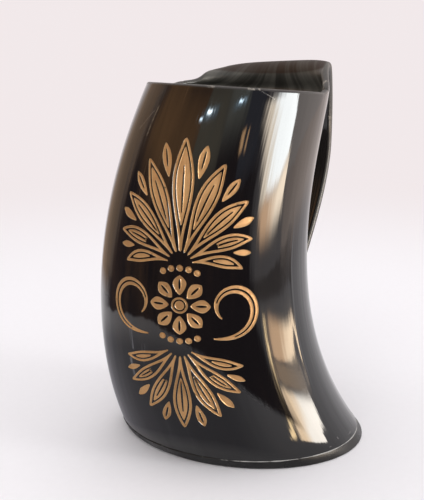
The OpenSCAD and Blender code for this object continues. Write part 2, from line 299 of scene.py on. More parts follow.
    def facing(self, heading: Any, s: Any) -> Array:
        """The outward direction of the worked wall.

        Args:
            heading: Heading of the place.
            s: Its share of the height.

        Returns:
            The direction, of length 1.
        """
        turn, rise = 0.15, 0.002
        around = self.surface(heading + turn, s) - self.surface(heading - turn, s)
        upward = self.surface(heading, s + rise) - self.surface(heading, s - rise)
        return unit(np.cross(around, upward))


@dataclass(frozen=True)
class StrapForm:
    """The strap that goes on from the back of the horn. Metres and degrees.

    Places across it go from -1 to 1, and along it from 0 at the root to 1 at the
    crest, 2 at the grip, 3 at the lap and 4 at the end.
    """

    horn: HornForm
    crest_height: float = 0.1588
    crest_tilt: float = 0.0038
    crest_reach: float = 0.038
    crest_width: float = 0.050
    crest_shift: float = 0.0031
    crest_hollow: float = 0.008
    crest_droop: float = 0.0012
    crest_flow: float = 0.45
    crest_rise: float = 0.25
    grip_height: float = 0.122
    grip_reach: float = 0.0606
    grip_width: float = 0.0286
    grip_shift: float = 0.0019
    grip_hollow: float = 0.0016
    lap_height: float = 0.040
    lap_length: float = 0.016
    lap_width: float = 0.023
    end_width: float = 0.017
    thick: float = 0.003
    lap_glue: float = 0.00015
    root_pull: float = 0.0046
    root_pull_far: float = 0.001
    crest_pull_in: float = 0.0045
    crest_pull_out: float = 0.0054
    grip_pull_up: float = 0.0165
    grip_pull_down: float = 0.031
    lap_pull: float = 0.007

    @property
    def lap_share(self) -> float:
        """Share of the wall's height at which the strap meets the wall again."""
        return self.lap_height / self.horn.rim_height

    @property
    def end_share(self) -> float:
        """Share of the wall's height at the strap's end."""
        return (self.lap_height - self.lap_length) / self.horn.rim_height

    def crest_point(self, w: Any) -> Array:
        """The underside's crest."""
        return stacked(self.crest_reach - self.crest_hollow * w * w,
                       self.crest_shift + self.crest_width / 2 * w,
                       self.crest_height - self.thick - self.crest_tilt / 2 * w
                       - self.crest_droop * np.abs(w) ** 5)

    def grip_point(self, w: Any) -> Array:
        """The underside's furthest line."""
        return stacked(self.grip_reach - self.thick - self.grip_hollow * w * w,
                       self.grip_shift + self.grip_width / 2 * w,
                       self.grip_height + 0 * w)

    def lap_heading(self, w: Any, s: Any) -> Any:
        """The heading at which a place across the strap lies on the wall.

        Args:
            w: The place across.
            s: The share of the wall's height.

        Returns:
            The heading.
        """
        share = np.clip((self.lap_share - s) / (self.lap_share - self.end_share), 0, 1)
        width = blend(self.end_width, self.lap_width, np.sqrt(1 - share * share))
        return np.degrees(width / self.horn.girth(s) * w)

    def lap_point(self, w: Any, s: Any) -> Array:
        """The underside where it lies on the wall, at share s of the height."""
        return self.horn.wall_point(self.lap_heading(w, s), s, -self.lap_glue)

    def under(self, w: Array, along: float) -> Array:
        """A row of the underside.

        Args:
            w: Places across.
            along: The place along.

        Returns:
            Points of the row.
        """
        z_axis = np.array([0, 0, 1.0])
        far = (w + 1) / 2
        crest, grip = self.crest_point(w), self.grip_point(w)
        flow = stacked(1.0, -self.crest_flow * w, self.crest_rise * far)
        if along < 1:
            arc = w * self.horn.root_arc
            root, up = self.horn.wall_point(arc, 1.0), self.horn.wall_up(arc, 1.0)
            pull = blend(self.root_pull, self.root_pull_far, far)[..., None]
            return pulled_curve(root, root + pull * up,
                                crest - self.crest_pull_in * flow, crest, along)
        if along < 2:
            return pulled_curve(crest, crest + self.crest_pull_out * flow,
                                grip + self.grip_pull_up * z_axis, grip, along - 1)
        if along < 3:
            lap = self.lap_point(w, self.lap_share)
            up = self.horn.wall_up(self.lap_heading(w, self.lap_share), self.lap_share)
            return pulled_curve(grip, grip - self.grip_pull_down * z_axis,
                                lap + self.lap_pull * up, lap, along - 2)
        return self.lap_point(w, blend(self.lap_share, self.end_share, along - 3))

    def through(self, w: Array, along: float) -> Array:
        """From the underside straight through the strap to its top.

        Args:
            w: Places across.
            along: The place along.

        Returns:
            The way through at each place.
        """
        small, square_from = 0.01, 0.5
        at = min(along, 4 - small)
        up = self.under(w, at + small) - self.under(w, at)
        side = self.under(w + small, at) - self.under(w - small, at)
        square = self.thick * unit(np.cross(up, side))
        arc = w * self.horn.root_arc
        root = (self.horn.wall_point(arc, 1.0, self.horn.wall_mouth)
                - self.horn.wall_point(arc, 1.0))
        return blend(root, square, smooth(along / square_from))


# ------------------------------------------------------------------ ornament


class Outline:
    """A closed line on the flat sheet, counterclockwise."""

    LEAST = 12
    NEAR = 0.97
    FINE = 0.15 * MM

    def __init__(self, points: Array) -> None:
        """Keep the points, turned counterclockwise.

        Args:
            points: Two columns, p and q, in metres.
        """
        x, y = points.T
        area = np.sum(x * np.roll(y, -1) - np.roll(x, -1) * y)
        self.points = points if area > 0 else points[::-1]

    def resampled(self, step: float) -> "Outline":
        """The same line with points a step apart.

        Args:
            step: The distance between them.

        Returns:
            The new line.
        """
        closed = np.vstack([self.points, self.points[:1]])
        at = np.append(0, np.cumsum(np.linalg.norm(np.diff(closed, axis=0), axis=1)))
        count = max(10, round(at[-1] / step))
        where = np.linspace(0, at[-1], count + 1)[:-1]
        return Outline(stacked(*(np.interp(where, at, closed[:, i]) for i in (0, 1))))

    def distance(self, where: Array) -> Array:
        """How far places are from the line.

        Args:
            where: The places.

        Returns:
            Their distances.
        """
        edge = np.roll(self.points, -1, axis=0) - self.points
        off = where[:, None] - self.points[None]
        t = np.clip((off * edge).sum(-1) / np.maximum((edge * edge).sum(-1), 1e-18), 0, 1)
        return np.linalg.norm(off - t[..., None] * edge, axis=-1).min(axis=1)

    def contains(self, where: Array) -> Array:
        """Whether places lie inside.

        Args:
            where: The places.

        Returns:
            True for each that does.
        """
        a, b = self.points, np.roll(self.points, -1, axis=0)
        x, y = where[:, :1], where[:, 1:]
        spans = (a[:, 1] > y) != (b[:, 1] > y)
        rise = np.where(np.abs(b[:, 1] - a[:, 1]) < 1e-15, 1e-15, b[:, 1] - a[:, 1])
        cross = a[:, 0] + (y - a[:, 1]) / rise * (b[:, 0] - a[:, 0])
        return (np.sum(spans & (x < cross), axis=1) % 2) == 1

    def box(self, margin: float = 0.0) -> tuple[Array, Array]:
        """The line's lowest and highest p and q, with a margin."""
        return self.points.min(0) - margin, self.points.max(0) + margin

    def offset(self, inwards: float) -> "Outline | None":
        """The line moved inwards, or outwards where that is negative.

        Args:
            inwards: How far.

        Returns:
            The moved line, or None where nothing is left of it.
        """
        line = self.resampled(self.FINE)
        along = unit(np.roll(line.points, -1, axis=0) - np.roll(line.points, 1, axis=0))
        moved = line.points + inwards * stacked(-along[:, 1], along[:, 0])
        keep = line.distance(moved) > abs(inwards) * self.NEAR
        return Outline(moved[keep]) if keep.sum() >= self.LEAST else None


@dataclass
class Engraving:
    """One outline of the ornament, and the group of gilding that it belongs to."""

    outline: Outline
    cut: Cut
    group: str


@dataclass(frozen=True)
class Curl:
    """A curve on the sheet that turns more and more as it goes. Metres and degrees."""

    start: Sequence[float]
    heading: float
    turn: float
    bend: float
    length: float

    def heading_at(self, share: Any) -> Any:
        """The heading at a share of the length."""
        return self.heading + self.turn * share ** self.bend

    def spine(self, rows: int) -> Array:
        """The curve as rows of short steps from its start."""
        steps = self.length / rows * ray(self.heading_at((np.arange(rows) + 0.5) / rows))
        return np.asarray(self.start) + np.vstack([[0, 0], np.cumsum(steps, axis=0)])

    def frond(self, width: float, belly: float, side: int = 1, swell: float = 1.0,
              span: Pair = (0.0, 1.0), blunt: float = 0.14) -> Outline:
        """The outline of a leaf, a scroll or a vein along the curve.

        Args:
            width: Its greatest width.
            belly: The share of its length at which it is widest.
            side: 1, or -1 for the mirrored one.
            swell: How late it grows wide.
            span: The part of the curve that it covers.
            blunt: The width at its ends, as a share.

        Returns:
            The closed outline.
        """
        rows, end_share, tiny = 90, 0.16, 1e-9
        s = np.arange(rows + 1) / rows
        along = ray(self.heading_at(s))
        normal = stacked(-along[:, 1], along[:, 0])
        reach = span[1] - span[0]
        share = (s - span[0]) / reach
        grown = np.sin(np.clip(share / belly, 0, 1) * math.pi / 2) ** swell
        closing = np.sin(np.clip((1 - share) / (1 - belly), 0, 1) * math.pi / 2)
        half = width / 2 * blend(blunt, 1, np.where(share < belly, grown, closing))
        end = np.minimum(share, 1 - share) * reach * self.length / (width * end_share)
        half = half * np.sqrt(np.maximum(0, 1 - (1 - np.clip(end, 0, 1)) ** 2))
        keep = (share > -tiny) & (share < 1 + tiny)
        spine, off = self.spine(rows)[keep], (half[:, None] * normal)[keep]
        return Outline(np.vstack([spine + off, (spine - off)[::-1]]) * (side, 1))


@dataclass(frozen=True)
class Ornament:
    """Two palmettes, a rosette, scrolls and beads, drawn on a flat sheet. Metres and degrees."""

    upper_leaves: int = 9
    upper_leaf_length: float = 0.042
    lower_leaves: int = 7
    lower_leaf_length: float = 0.033
    leaf_width_share: float = 0.21
    dart_width_share: float = 0.11
    petals: int = 8
    petal_length: float = 0.0076
    petal_width: float = 0.0052
    petal_gap: float = 0.0008
    petal_belly: float = 0.6
    eye_radius: float = 0.0032
    eye_ring: Pair = (0.0009, 0.00135)
    scroll_length: float = 0.052
    scroll_width: float = 0.0036
    scroll_in: float = 0.0116
    scroll_up: float = 0.0032
    scroll_heading: float = -4.0
    scroll_turn: float = 330.0
    scroll_bend: float = 1.5
    beads: int = 5
    bead_radius: float = 0.0013
    bead_drop: float = 0.0016
    bead_pitch: float = 2.6
    rosette_q: float = -0.004
    heart_margin: float = 0.005
    leaf_fan: float = 20.0
    leaf_root: float = 0.0044
    leaf_turn: float = 11.0
    leaf_shrink: float = 0.13
    leaf_slim: float = 0.8
    leaf_bend: float = 1.6
    leaf_belly: float = 0.62
    leaf_swell: float = 1.9
    dart_row: int = 7
    dart_length: float = 0.33
    band: float = 0.0011
    ridge: float = 0.00045
    vein: float = 0.0006
    petal_vein: float = 0.0008
    leaf_with_vein: float = 0.0052
    dart_with_vein: float = 0.0032

    @property
    def heart_gap(self) -> float:
        """From the rosette's middle to each palmette's heart."""
        return self.eye_radius + self.petal_length + self.heart_margin

    def curl(self, way: int, n: float, length: float) -> Curl:
        """The curve that a palmette's leaf follows.

        Args:
            way: 1 where the palmette points up, -1 down.
            n: Which leaf, counted out from the middle.
            length: Length of the palmette's middle leaf.

        Returns:
            The curve.
        """
        heading = 90 - n * self.leaf_fan
        heart = (0, self.rosette_q + way * self.heart_gap)
        start = heart + self.leaf_root * ray(heading) * (1, way)
        return Curl(start, way * heading, -way * self.leaf_turn * n, self.leaf_bend,
                    length * (1 - self.leaf_shrink * n))

    def leaf(self, group: str, way: int, n: float, side: int, length: float) -> list[Engraving]:
        """One leaf: a band, a ridge left standing round it, an inner pocket and a vein.

        Args:
            group: The group of gilding.
            way, n, length: As for its curve.
            side: 1, or -1 for the mirrored one.

        Returns:
            Its outlines, from the outside in.
        """
        curl = self.curl(way, n, length)
        width = self.leaf_width_share * length * (1 - self.leaf_shrink * n) ** self.leaf_slim
        outer = curl.frond(width, self.leaf_belly, side, self.leaf_swell)
        cuts = [Engraving(outer, Cut.POCKET, group)]
        island, inner = outer.offset(self.band), outer.offset(self.band + self.ridge)
        if island is not None and inner is not None:
            cuts += [Engraving(island, Cut.ISLAND, group), Engraving(inner, Cut.POCKET, group)]
            if width > self.leaf_with_vein:
                vein = curl.frond(self.vein, 0.4, side, 1.0, (0.34, 0.76), 0.5)
                cuts.append(Engraving(vein, Cut.ISLAND, group))
        return cuts

    def dart(self, group: str, way: int, n: float, side: int, length: float) -> list[Engraving]:
        """A dart between the tips of two leaves, on the curve that a leaf there would follow.

        Args:
            group: The group of gilding.
            way, n, length: As for that curve.
            side: 1, or -1 for the mirrored one.

        Returns:
            Its outlines.
        """
        rows = 10
        curl = self.curl(way, n, length)
        line = Curl(curl.spine(rows)[self.dart_row], curl.heading_at(self.dart_row / rows), 0, 1,
                    self.dart_length * curl.length)
        width = self.dart_width_share * length * (1 - self.leaf_shrink * n)
        cuts = [Engraving(line.frond(width, self.petal_belly, side), Cut.POCKET, group)]
        if width > self.dart_with_vein:
            vein = line.frond(self.vein, 0.5, side, 1.0, (0.3, 0.82), 0.5)
            cuts.append(Engraving(vein, Cut.ISLAND, group))
        return cuts

    def palmette(self, group: str, way: int, count: int, length: float) -> list[Engraving]:
        """All the leaves and darts of a palmette.

        Args:
            group: The group of gilding.
            way: 1 where it points up, -1 down.
            count: How many leaves it has.
            length: Length of its middle leaf.

        Returns:
            Its outlines.
        """
        half = (count - 1) // 2
        cuts: list[Engraving] = []
        for i in range(-half, half + 1):
            cuts += self.leaf(group, way, abs(i), -1 if i < 0 else 1, length)
        for side in (-1, 1):
            for i in range(1, half + 1):
                cuts += self.dart(group, way, i - 0.5, side, length)
        return cuts

    def disc(self, p: float, q: float, radius: float) -> Outline:
        """A circle."""
        return Outline(np.array((p, q)) + radius * ray(np.arange(0, 360, 7.5)))

    def rosette(self, group: str) -> list[Engraving]:
        """The eye with its ring, and the petals.

        Args:
            group: The group of gilding.

        Returns:
            Their outlines.
        """
        eye = self.disc(0, self.rosette_q, self.eye_radius)
        cuts = [Engraving(eye, Cut.POCKET, group),
                Engraving(eye.offset(self.eye_ring[0]), Cut.ISLAND, group),
                Engraving(eye.offset(self.eye_ring[1]), Cut.POCKET, group)]
        for i in range(self.petals):
            heading = 360 * i / self.petals + 90
            start = (0, self.rosette_q) + (self.eye_radius + self.petal_gap) * ray(heading)
            line = Curl(start, heading, 0, 1, self.petal_length)
            vein = line.frond(self.petal_vein, 0.5, 1, 1.0, (0.28, 0.8), 0.4)
            cuts += [Engraving(line.frond(self.petal_width, self.petal_belly), Cut.POCKET, group),
                     Engraving(vein, Cut.ISLAND, group)]
        return cuts

    def scrolls(self, group: str) -> list[Engraving]:
        """The two side scrolls.

        Args:
            group: The group of gilding.

        Returns:
            Their outlines.
        """
        start = (self.scroll_in, self.rosette_q - self.heart_gap + self.scroll_up)
        curl = Curl(start, self.scroll_heading, self.scroll_turn, self.scroll_bend,
                    self.scroll_length)
        cuts = []
        for side in (-1, 1):
            vein = curl.frond(self.vein, 0.5, side, 1.0, (0.16, 0.86), 0.6)
            cuts += [Engraving(curl.frond(self.scroll_width, 0.5, side), Cut.POCKET, group),
                     Engraving(vein, Cut.ISLAND, group)]
        return cuts

    def bead_places(self) -> list[Pair]:
        """The middles of all beads, on arcs round the rosette.

        Returns:
            Their p and q.
        """
        reach = self.heart_gap - self.bead_drop
        turn = self.bead_pitch * self.bead_radius / reach
        offs = [(i - (self.beads - 1) / 2) * turn for i in range(self.beads)]
        return [(reach * math.sin(off), self.rosette_q + way * reach * math.cos(off))
                for way in (-1, 1) for off in offs]

    def engravings(self) -> list[Engraving]:
        """Every outline of the ornament.

        Returns:
            The outlines, group by group.
        """
        return [
            *self.palmette("gilt_upper_palmette", 1, self.upper_leaves, self.upper_leaf_length),
            *self.palmette("gilt_lower_palmette", -1, self.lower_leaves, self.lower_leaf_length),
            *self.rosette("gilt_rosette"), *self.scrolls("gilt_scrolls"),
            *(Engraving(self.disc(*place, self.bead_radius), Cut.POCKET, "gilt_beads")
              for place in self.bead_places())]


@dataclass(frozen=True)
class Sheet:
    """The flat sheet, p across and q up, laid round the front of the wall."""

    horn: HornForm
    heading: float = 199.0
    height: float = 0.076

    @property
    def radius(self) -> float:
        """Mean radius of the wall half way up."""
        return self.horn.girth(0.5) / 2

    @property
    def front_top(self) -> float:
        """Height of the rim over the ornament."""
        return float(self.horn.wall_point(self.heading, 1.0)[2])

    def share(self, q: Any) -> Any:
        """The share of the wall's height at q."""
        return (self.height + q) / self.front_top

    def sideways(self, s: Any) -> Any:
        """How far the wall's middle stands to one side at share s."""
        along = ray(self.heading)
        return self.horn.centre(s) @ (-along[1], along[0])

    def middle(self, s: Any) -> Any:
        """The heading of the ornament's middle line, which stays in one upright plane."""
        side = (self.sideways(s) - self.sideways(0.5)) / (self.horn.girth(s) / 2)
        return self.heading - np.degrees(np.arcsin(side))

    def unrolled(self, points: Array) -> Array:
        """Move places to the unrolled wall, which is straight at every height."""
        swing = self.x_at(self.middle(self.share(points[:, 1])))
        return stacked(points[:, 0] + swing, points[:, 1])

    def heading_at(self, x: Any) -> Any:
        """The heading at x of the unrolled wall."""
        return self.heading + np.degrees(x / self.radius)

    def x_at(self, heading: Any) -> Any:
        """The place on the unrolled wall at a heading."""
        return np.radians(heading - self.heading) * self.radius


@dataclass
class Unrolled:
    """The outer wall as triangles on the unrolled sheet, with the pockets cut in."""

    places: Array
    depth: Array
    triangles: Array
    groups: Array
    names: list[str]
    headings: Array
    top: Array
    bottom: Array


@dataclass
class Cuttings:
    """Places on the unrolled wall, each with its depth and group, and the lines between them."""

    places: list[Array] = field(default_factory=list)
    depths: list[Array] = field(default_factory=list)
    groups: list[Array] = field(default_factory=list)
    edges: list[tuple[int, int]] = field(default_factory=list)
    total: int = 0

    def add(self, places: Array, depth: Any, group: Any) -> int:
        """Add places.

        Args:
            places: Where they are.
            depth: How deep they lie.
            group: Their group of gilding, or -1.

        Returns:
            The number of the first.
        """
        count, first = len(places), self.total
        self.places.append(places)
        self.depths.append(np.broadcast_to(depth, count))
        self.groups.append(np.broadcast_to(group, count))
        self.total += count
        return first


@dataclass(frozen=True)
class Engraver:
    """Cuts the ornament's pockets into the unrolled wall. Metres and degrees."""

    sheet: Sheet
    ornament: Ornament
    depth: float = 0.00048
    uneven: float = 0.07
    slope: float = 0.00036
    step: float = 0.00042
    column_step: float = 2.0
    ridge_half: float = 3.0
    ridge_step: float = 0.3
    first_heading: float = 18.0
    rows: int = 100
    clear: float = 0.0005

    def columns(self) -> Array:
        """Headings of the wall's columns, which stand closer together at the ridge.

        Returns:
            The headings, the first one again at the end, a turn further on.
        """
        ridge = self.sheet.horn.ridge_heading % 360
        half, step = self.ridge_half, self.ridge_step
        close = ridge + np.arange(-half, half + step / 2, step)
        even = self.first_heading + np.arange(0, 360, self.column_step)
        columns = np.sort(np.append(even[np.abs(even - ridge) > half + step], close))
        return np.append(columns, self.first_heading + 360)

    def floor_line(self, cut: Engraving, others: Sequence[Engraving]) -> Outline | None:
        """The line at the foot of a pocket's wall.

        Args:
            cut: The engraving.
            others: Engravings whose lines it may come near.

        Returns:
            The line, or None in a pocket too narrow for a floor.
        """
        line = cut.outline.offset(self.slope * cut.cut.value)
        if line is None:
            return None
        keep = np.ones(len(line.points), bool)
        low, high = line.box(self.slope)
        for other in others:
            edge = other.outline.points
            if other is cut or (edge.max(0) < low).any() or (edge.min(0) > high).any():
                continue
            keep &= other.outline.distance(line.points) > self.slope * Outline.NEAR
        if keep.sum() < Outline.LEAST:
            return None
        return Outline(line.points[keep]).resampled(self.step)

    def wall_grid(self, made: Cuttings, cuts: Sequence[Engraving], names: list[str]) -> Array:
        """Add the wall's columns and rows, without the places too near a pocket's edge.

        Args:
            made: What they are added to.
            cuts: The engravings.
            names: The groups of gilding.

        Returns:
            The number of each place, row by row, or -1 where it is left out.
        """
        sheet = self.sheet
        low_q = sheet.horn.seam_share * sheet.front_top - sheet.height
        rows = np.linspace(low_q, sheet.front_top - sheet.height, self.rows + 1)
        grid = stacked(*np.meshgrid(sheet.x_at(self.columns()), rows))
        flat = grid.reshape(-1, 2)
        inside, owner = np.zeros(len(flat), int), np.full(len(flat), -1)
        near = np.full(len(flat), 1.0)
        for item in cuts:
            low, high = item.outline.box(2 * self.clear)
            some = np.where(((flat > low) & (flat < high)).all(1))[0]
            if len(some):
                within = some[item.outline.contains(flat[some])]
                inside[within] += 1
                owner[within] = names.index(item.group)
                near[some] = np.minimum(near[some], item.outline.distance(flat[some]))
        sunk = inside % 2 == 1
        keep = near > np.where(sunk, self.slope + 0.7 * self.clear, self.clear)
        made.add(flat[keep], np.where(sunk[keep], self.depth, 0.0),
                 np.where(sunk[keep], owner[keep], -1))
        return np.where(keep, np.cumsum(keep) - 1, -1).reshape(grid.shape[:2])

    def triangulated(self, made: Cuttings) -> Array:
        """Join the places with triangles that keep to the lines.

        Args:
            made: The places and lines.

        Returns:
            The triangles, counterclockwise.
        """
        spots, tiny, close = np.vstack(made.places), 1e-14, 1e-5
        points = [Vector(p) for p in (spots / MM).tolist()]
        result = delaunay_2d_cdt(points, made.edges, [], 0, close)
        back = np.array([origin[0] if origin else -1 for origin in result[3]])
        if (back < 0).any():
            LOG.warning("%d crossings in the ornament", int((back < 0).sum()))
        corners = back[np.array([list(face) for face in result[2]])]
        corners = corners[(corners >= 0).all(1)]
        a, b, c = (spots[corners[:, i]] for i in range(3))
        turned = np.cross(b - a, c - a)
        corners[turned < 0] = corners[turned < 0][:, ::-1]
        return corners[np.abs(turned) > tiny]

    def flagged(self, made: Cuttings, corners: Array, cuts: Sequence[Engraving]) -> Array:
        """Find the group of gilding of each triangle.

        Args:
            made: The places.
            corners: The triangles.
            cuts: The engravings.

        Returns:
            The group's number, or -1 on bare horn.
        """
        spots, groups = np.vstack(made.places), np.concatenate(made.groups)
        flags = np.full(len(corners), -1)
        deep = np.concatenate(made.depths)[corners].max(1) > 0
        flags[deep] = groups[corners[deep]].max(1)
        level = np.where(~deep & (groups[corners] >= 0).all(1))[0]
        middle = spots[corners[level]].mean(1)
        inside = np.zeros(len(level), int)
        for item in cuts:
            low, high = item.outline.box()
            some = np.where(((middle > low) & (middle < high)).all(1))[0]
            if len(some):
                inside[some] += item.outline.contains(middle[some])
        sunk = level[inside % 2 == 1]
        flags[sunk] = groups[corners[sunk]].max(1)
        return flags

    def cut(self) -> Unrolled:
        """Cut all the pockets.

        Returns:
            The wall's triangles, with each point's depth and each triangle's group of gilding.
        """
        cuts = self.ornament.engravings()
        for item in cuts:
            line = item.outline.resampled(self.step)
            item.outline = Outline(self.sheet.unrolled(line.points))
        names = sorted({item.group for item in cuts})
        made = Cuttings()
        ids = self.wall_grid(made, cuts, names)
        for item in cuts:
            for line, deep in ((item.outline, 0.0), (self.floor_line(item, cuts), self.depth)):
                if line is not None:
                    n = len(line.points)
                    first = made.add(line.points, deep, names.index(item.group))
                    made.edges += [(first + i, first + (i + 1) % n) for i in range(n)]
        for side in (ids[0], ids[-1], ids[:, 0], ids[:, -1]):
            made.edges += list(zip(side[:-1].tolist(), side[1:].tolist()))
        corners = self.triangulated(made)
        flags = self.flagged(made, corners, cuts)
        fold = np.arange(made.total)
        fold[ids[:, -1]] = ids[:, 0]
        spots, depths = np.vstack(made.places), np.concatenate(made.depths)
        uneven = waves(spots[:, 0] / 0.0021, spots[:, 1] / 0.0034, 3, 7)
        depths = depths * (1 + self.uneven * uneven)
        return Unrolled(spots, depths, fold[corners], flags, names,
                        self.sheet.heading_at(spots[:, 0]), ids[-1, :-1], ids[0, :-1])


# -------------------------------------------------------------------- meshes


@dataclass
class Patchwork:
    """Points and faces of one piece, gathered patch by patch."""

    points: list[Array] = field(default_factory=list)
    grain: list[Array] = field(default_factory=list)
    inner: list[Array] = field(default_factory=list)
    bend: list[Array] = field(default_factory=list)
    faces: list[Face] = field(default_factory=list)
    total: int = 0

    def add(self, points: Array, grain: Array, inner: Any = 0.0, bend: Any = 0.0) -> Array:
        """Add points.

        Args:
            points: Their places.
            grain: Where they lie in the horn's grain.
            inner: 1 on the inside of the horn, 0 outside.
            bend: 1 where the strap was heated and bent.

        Returns:
            Their numbers, in the same shape.
        """
        shape = points.shape[:-1]
        count = int(np.prod(shape))
        self.points.append(points.reshape(-1, 3))
        self.grain.append(grain.reshape(-1, 3))
        self.inner.append(np.broadcast_to(inner, shape).reshape(-1).astype(float))
        self.bend.append(np.broadcast_to(bend, shape).reshape(-1).astype(float))
        ids = np.arange(self.total, self.total + count).reshape(shape)
        self.total += count
        return ids

    def lattice(self, rows: Array, closed: bool = False, flip: bool = False) -> None:
        """Join rows of point numbers with four-sided faces.

        Args:
            rows: Numbers, one row after the other.
            closed: Whether each row's end joins its start.
            flip: Whether the faces look the other way.
        """
        if closed:
            rows = np.concatenate([rows, rows[:, :1]], axis=1)
        a, b, c, d = rows[:-1, :-1], rows[:-1, 1:], rows[1:, 1:], rows[1:, :-1]
        quads = np.stack([a, d, c, b] if flip else [a, b, c, d], axis=-1).reshape(-1, 4)
        corners = (tuple(dict.fromkeys(quad)) for quad in quads.tolist())
        self.faces += [face for face in corners if len(face) > 2]


def ring_faces(rings: int, count: int, looped: bool = False) -> list[Face]:
    """Faces that join rings of points, one after the other.

    Args:
        rings: How many rings.
        count: How many points each has.
        looped: Whether the last ring joins the first.

    Returns:
        The faces.
    """
    faces: list[Face] = []
    for r in range(rings if looped else rings - 1):
        low, high = r * count, (r + 1) % rings * count
        faces += [(low + i, low + (i + 1) % count, high + (i + 1) % count, high + i)
                  for i in range(count)]
    return faces


def capped(rings: Sequence[Array], low: Array, high: Array) -> tuple[Array, list[Face]]:
    """A closed solid from rings of points and a point in the middle of each end.

    Args:
        rings: The rings.
        low: The middle of the first end.
        high: The middle of the last end.

    Returns:
        Its points and faces.
    """
    n, last = len(rings[0]), (len(rings) - 1) * len(rings[0])
    middle = last + n
    faces = ring_faces(len(rings), n)
    faces += [(middle, (i + 1) % n, i) for i in range(n)]
    faces += [(middle + 1, last + i, last + (i + 1) % n) for i in range(n)]
    return np.vstack([*rings, low, high]), faces


def linked(name: str, data: Any) -> bpy.types.Object:
    """Put an object into the scene, at the origin."""
    made = bpy.data.objects.new(name, data)
    bpy.context.scene.collection.objects.link(made)
    return made


def write(mesh: bpy.types.Mesh, name: str, values: Array) -> None:
    """Write an attribute on a mesh's points.

    Args:
        mesh: The mesh.
        name: The attribute's name.
        values: A number or a vector for each point.
    """
    kind, key = ("FLOAT_VECTOR", "vector") if values.shape[-1] == 3 else ("FLOAT", "value")
    made = mesh.attributes.new(name, kind, "POINT")
    made.data.foreach_set(key, values.astype(np.float32).ravel())


def shaded(name: str, shell: bmesh.types.BMesh, sharp: float) -> bpy.types.Object:
    """Turn a shell into a smooth mesh object.

    Args:
        name: The piece's name.
        shell: The shell, which is freed.
        sharp: The angle from which an edge stays sharp.

    Returns:
        The object, at the origin.
    """
    mesh = bpy.data.meshes.new(name)
    shell.to_mesh(mesh)
    shell.free()
    mesh.polygons.foreach_set("use_smooth", np.ones(len(mesh.polygons), bool))
    mesh.set_sharp_from_angle(angle=math.radians(sharp))
    return linked(name, mesh)


def solid(name: str, points: Array, faces: Sequence[Face], sharp: float = 32.0) -> bpy.types.Object:
    """Make a smooth mesh object whose faces look outwards.

    Args:
        name: The piece's name.
        points: Its points, in metres.
        faces: Its faces.
        sharp: The angle from which an edge stays sharp.

    Returns:
        The object, at the origin.
    """
    mesh = bpy.data.meshes.new(name + "_start")
    mesh.from_pydata(points.tolist(), [], faces)
    shell = bmesh.new()
    shell.from_mesh(mesh)
    bpy.data.meshes.remove(mesh)
    bmesh.ops.recalc_face_normals(shell, faces=shell.faces)
    return shaded(name, shell, sharp)


def merged(name: str, pieces: Sequence[bpy.types.Object], sharp: float = 32.0) -> bpy.types.Object:
    """Join pieces into one mesh object and delete them.

    Args:
        name: The new piece's name.
        pieces: The pieces, at the origin.
        sharp: The angle from which an edge stays sharp.

    Returns:
        The joined piece.
    """
    shell = bmesh.new()
    for piece in pieces:
        shell.from_mesh(piece.data)
        bpy.data.objects.remove(piece)
    return shaded(name, shell, sharp)


def dress(piece: bpy.types.Object, material: bpy.types.Material, slot: Slot, *nodes: str) -> None:
    """Give a piece its material and its body, and hide the CAD nodes that it stands for.

    Args:
        piece: The piece.
        material: Its finish.
        slot: Not used.
        nodes: The CAD nodes.
    """
    piece.data.materials.clear()
    piece.data.materials.append(material)
    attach(piece, BODY)
    if nodes:
        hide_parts(*nodes)
    piece.data.calc_loop_triangles()
    LOG.info("%s: %d triangles, stands for %s", piece.name, len(piece.data.loop_triangles),
             ", ".join(nodes) or "-")


# ------------------------------------------------------------- shader writing


class Value:
    """A socket that takes part in Python expressions."""

    def __init__(self, tree: "NodeTree", socket: bpy.types.NodeSocket) -> None:
        """Wrap an output socket of a tree."""
        self.tree = tree
        self.socket = socket

    def __add__(self, other: Any) -> "Value":
        """Add."""
        return self.tree.maths("ADD", self, other)

    __radd__ = __add__

    def __sub__(self, other: Any) -> "Value":
        """Take away."""
        return self.tree.maths("SUBTRACT", self, other)

    def __rsub__(self, other: Any) -> "Value":
        """Take this away from a number."""
        return self.tree.maths("SUBTRACT", other, self)

    def __mul__(self, other: Any) -> "Value":
        """Multiply."""
        return self.tree.maths("MULTIPLY", self, other)

    __rmul__ = __mul__

    def __pow__(self, other: Any) -> "Value":
        """Raise to a power."""
        return self.tree.maths("POWER", self, other)

    def clamped(self) -> "Value":
        """Hold between 0 and 1."""
        return self.tree.value("ShaderNodeClamp", {}, {"Value": self})

    def ramped(self, low: float, high: float) -> "Value":
        """Ease from 0 at low to 1 at high."""
        return self.tree.value("ShaderNodeMapRange", {"interpolation_type": "SMOOTHSTEP"},
                               {"Value": self, "From Min": low, "From Max": high})


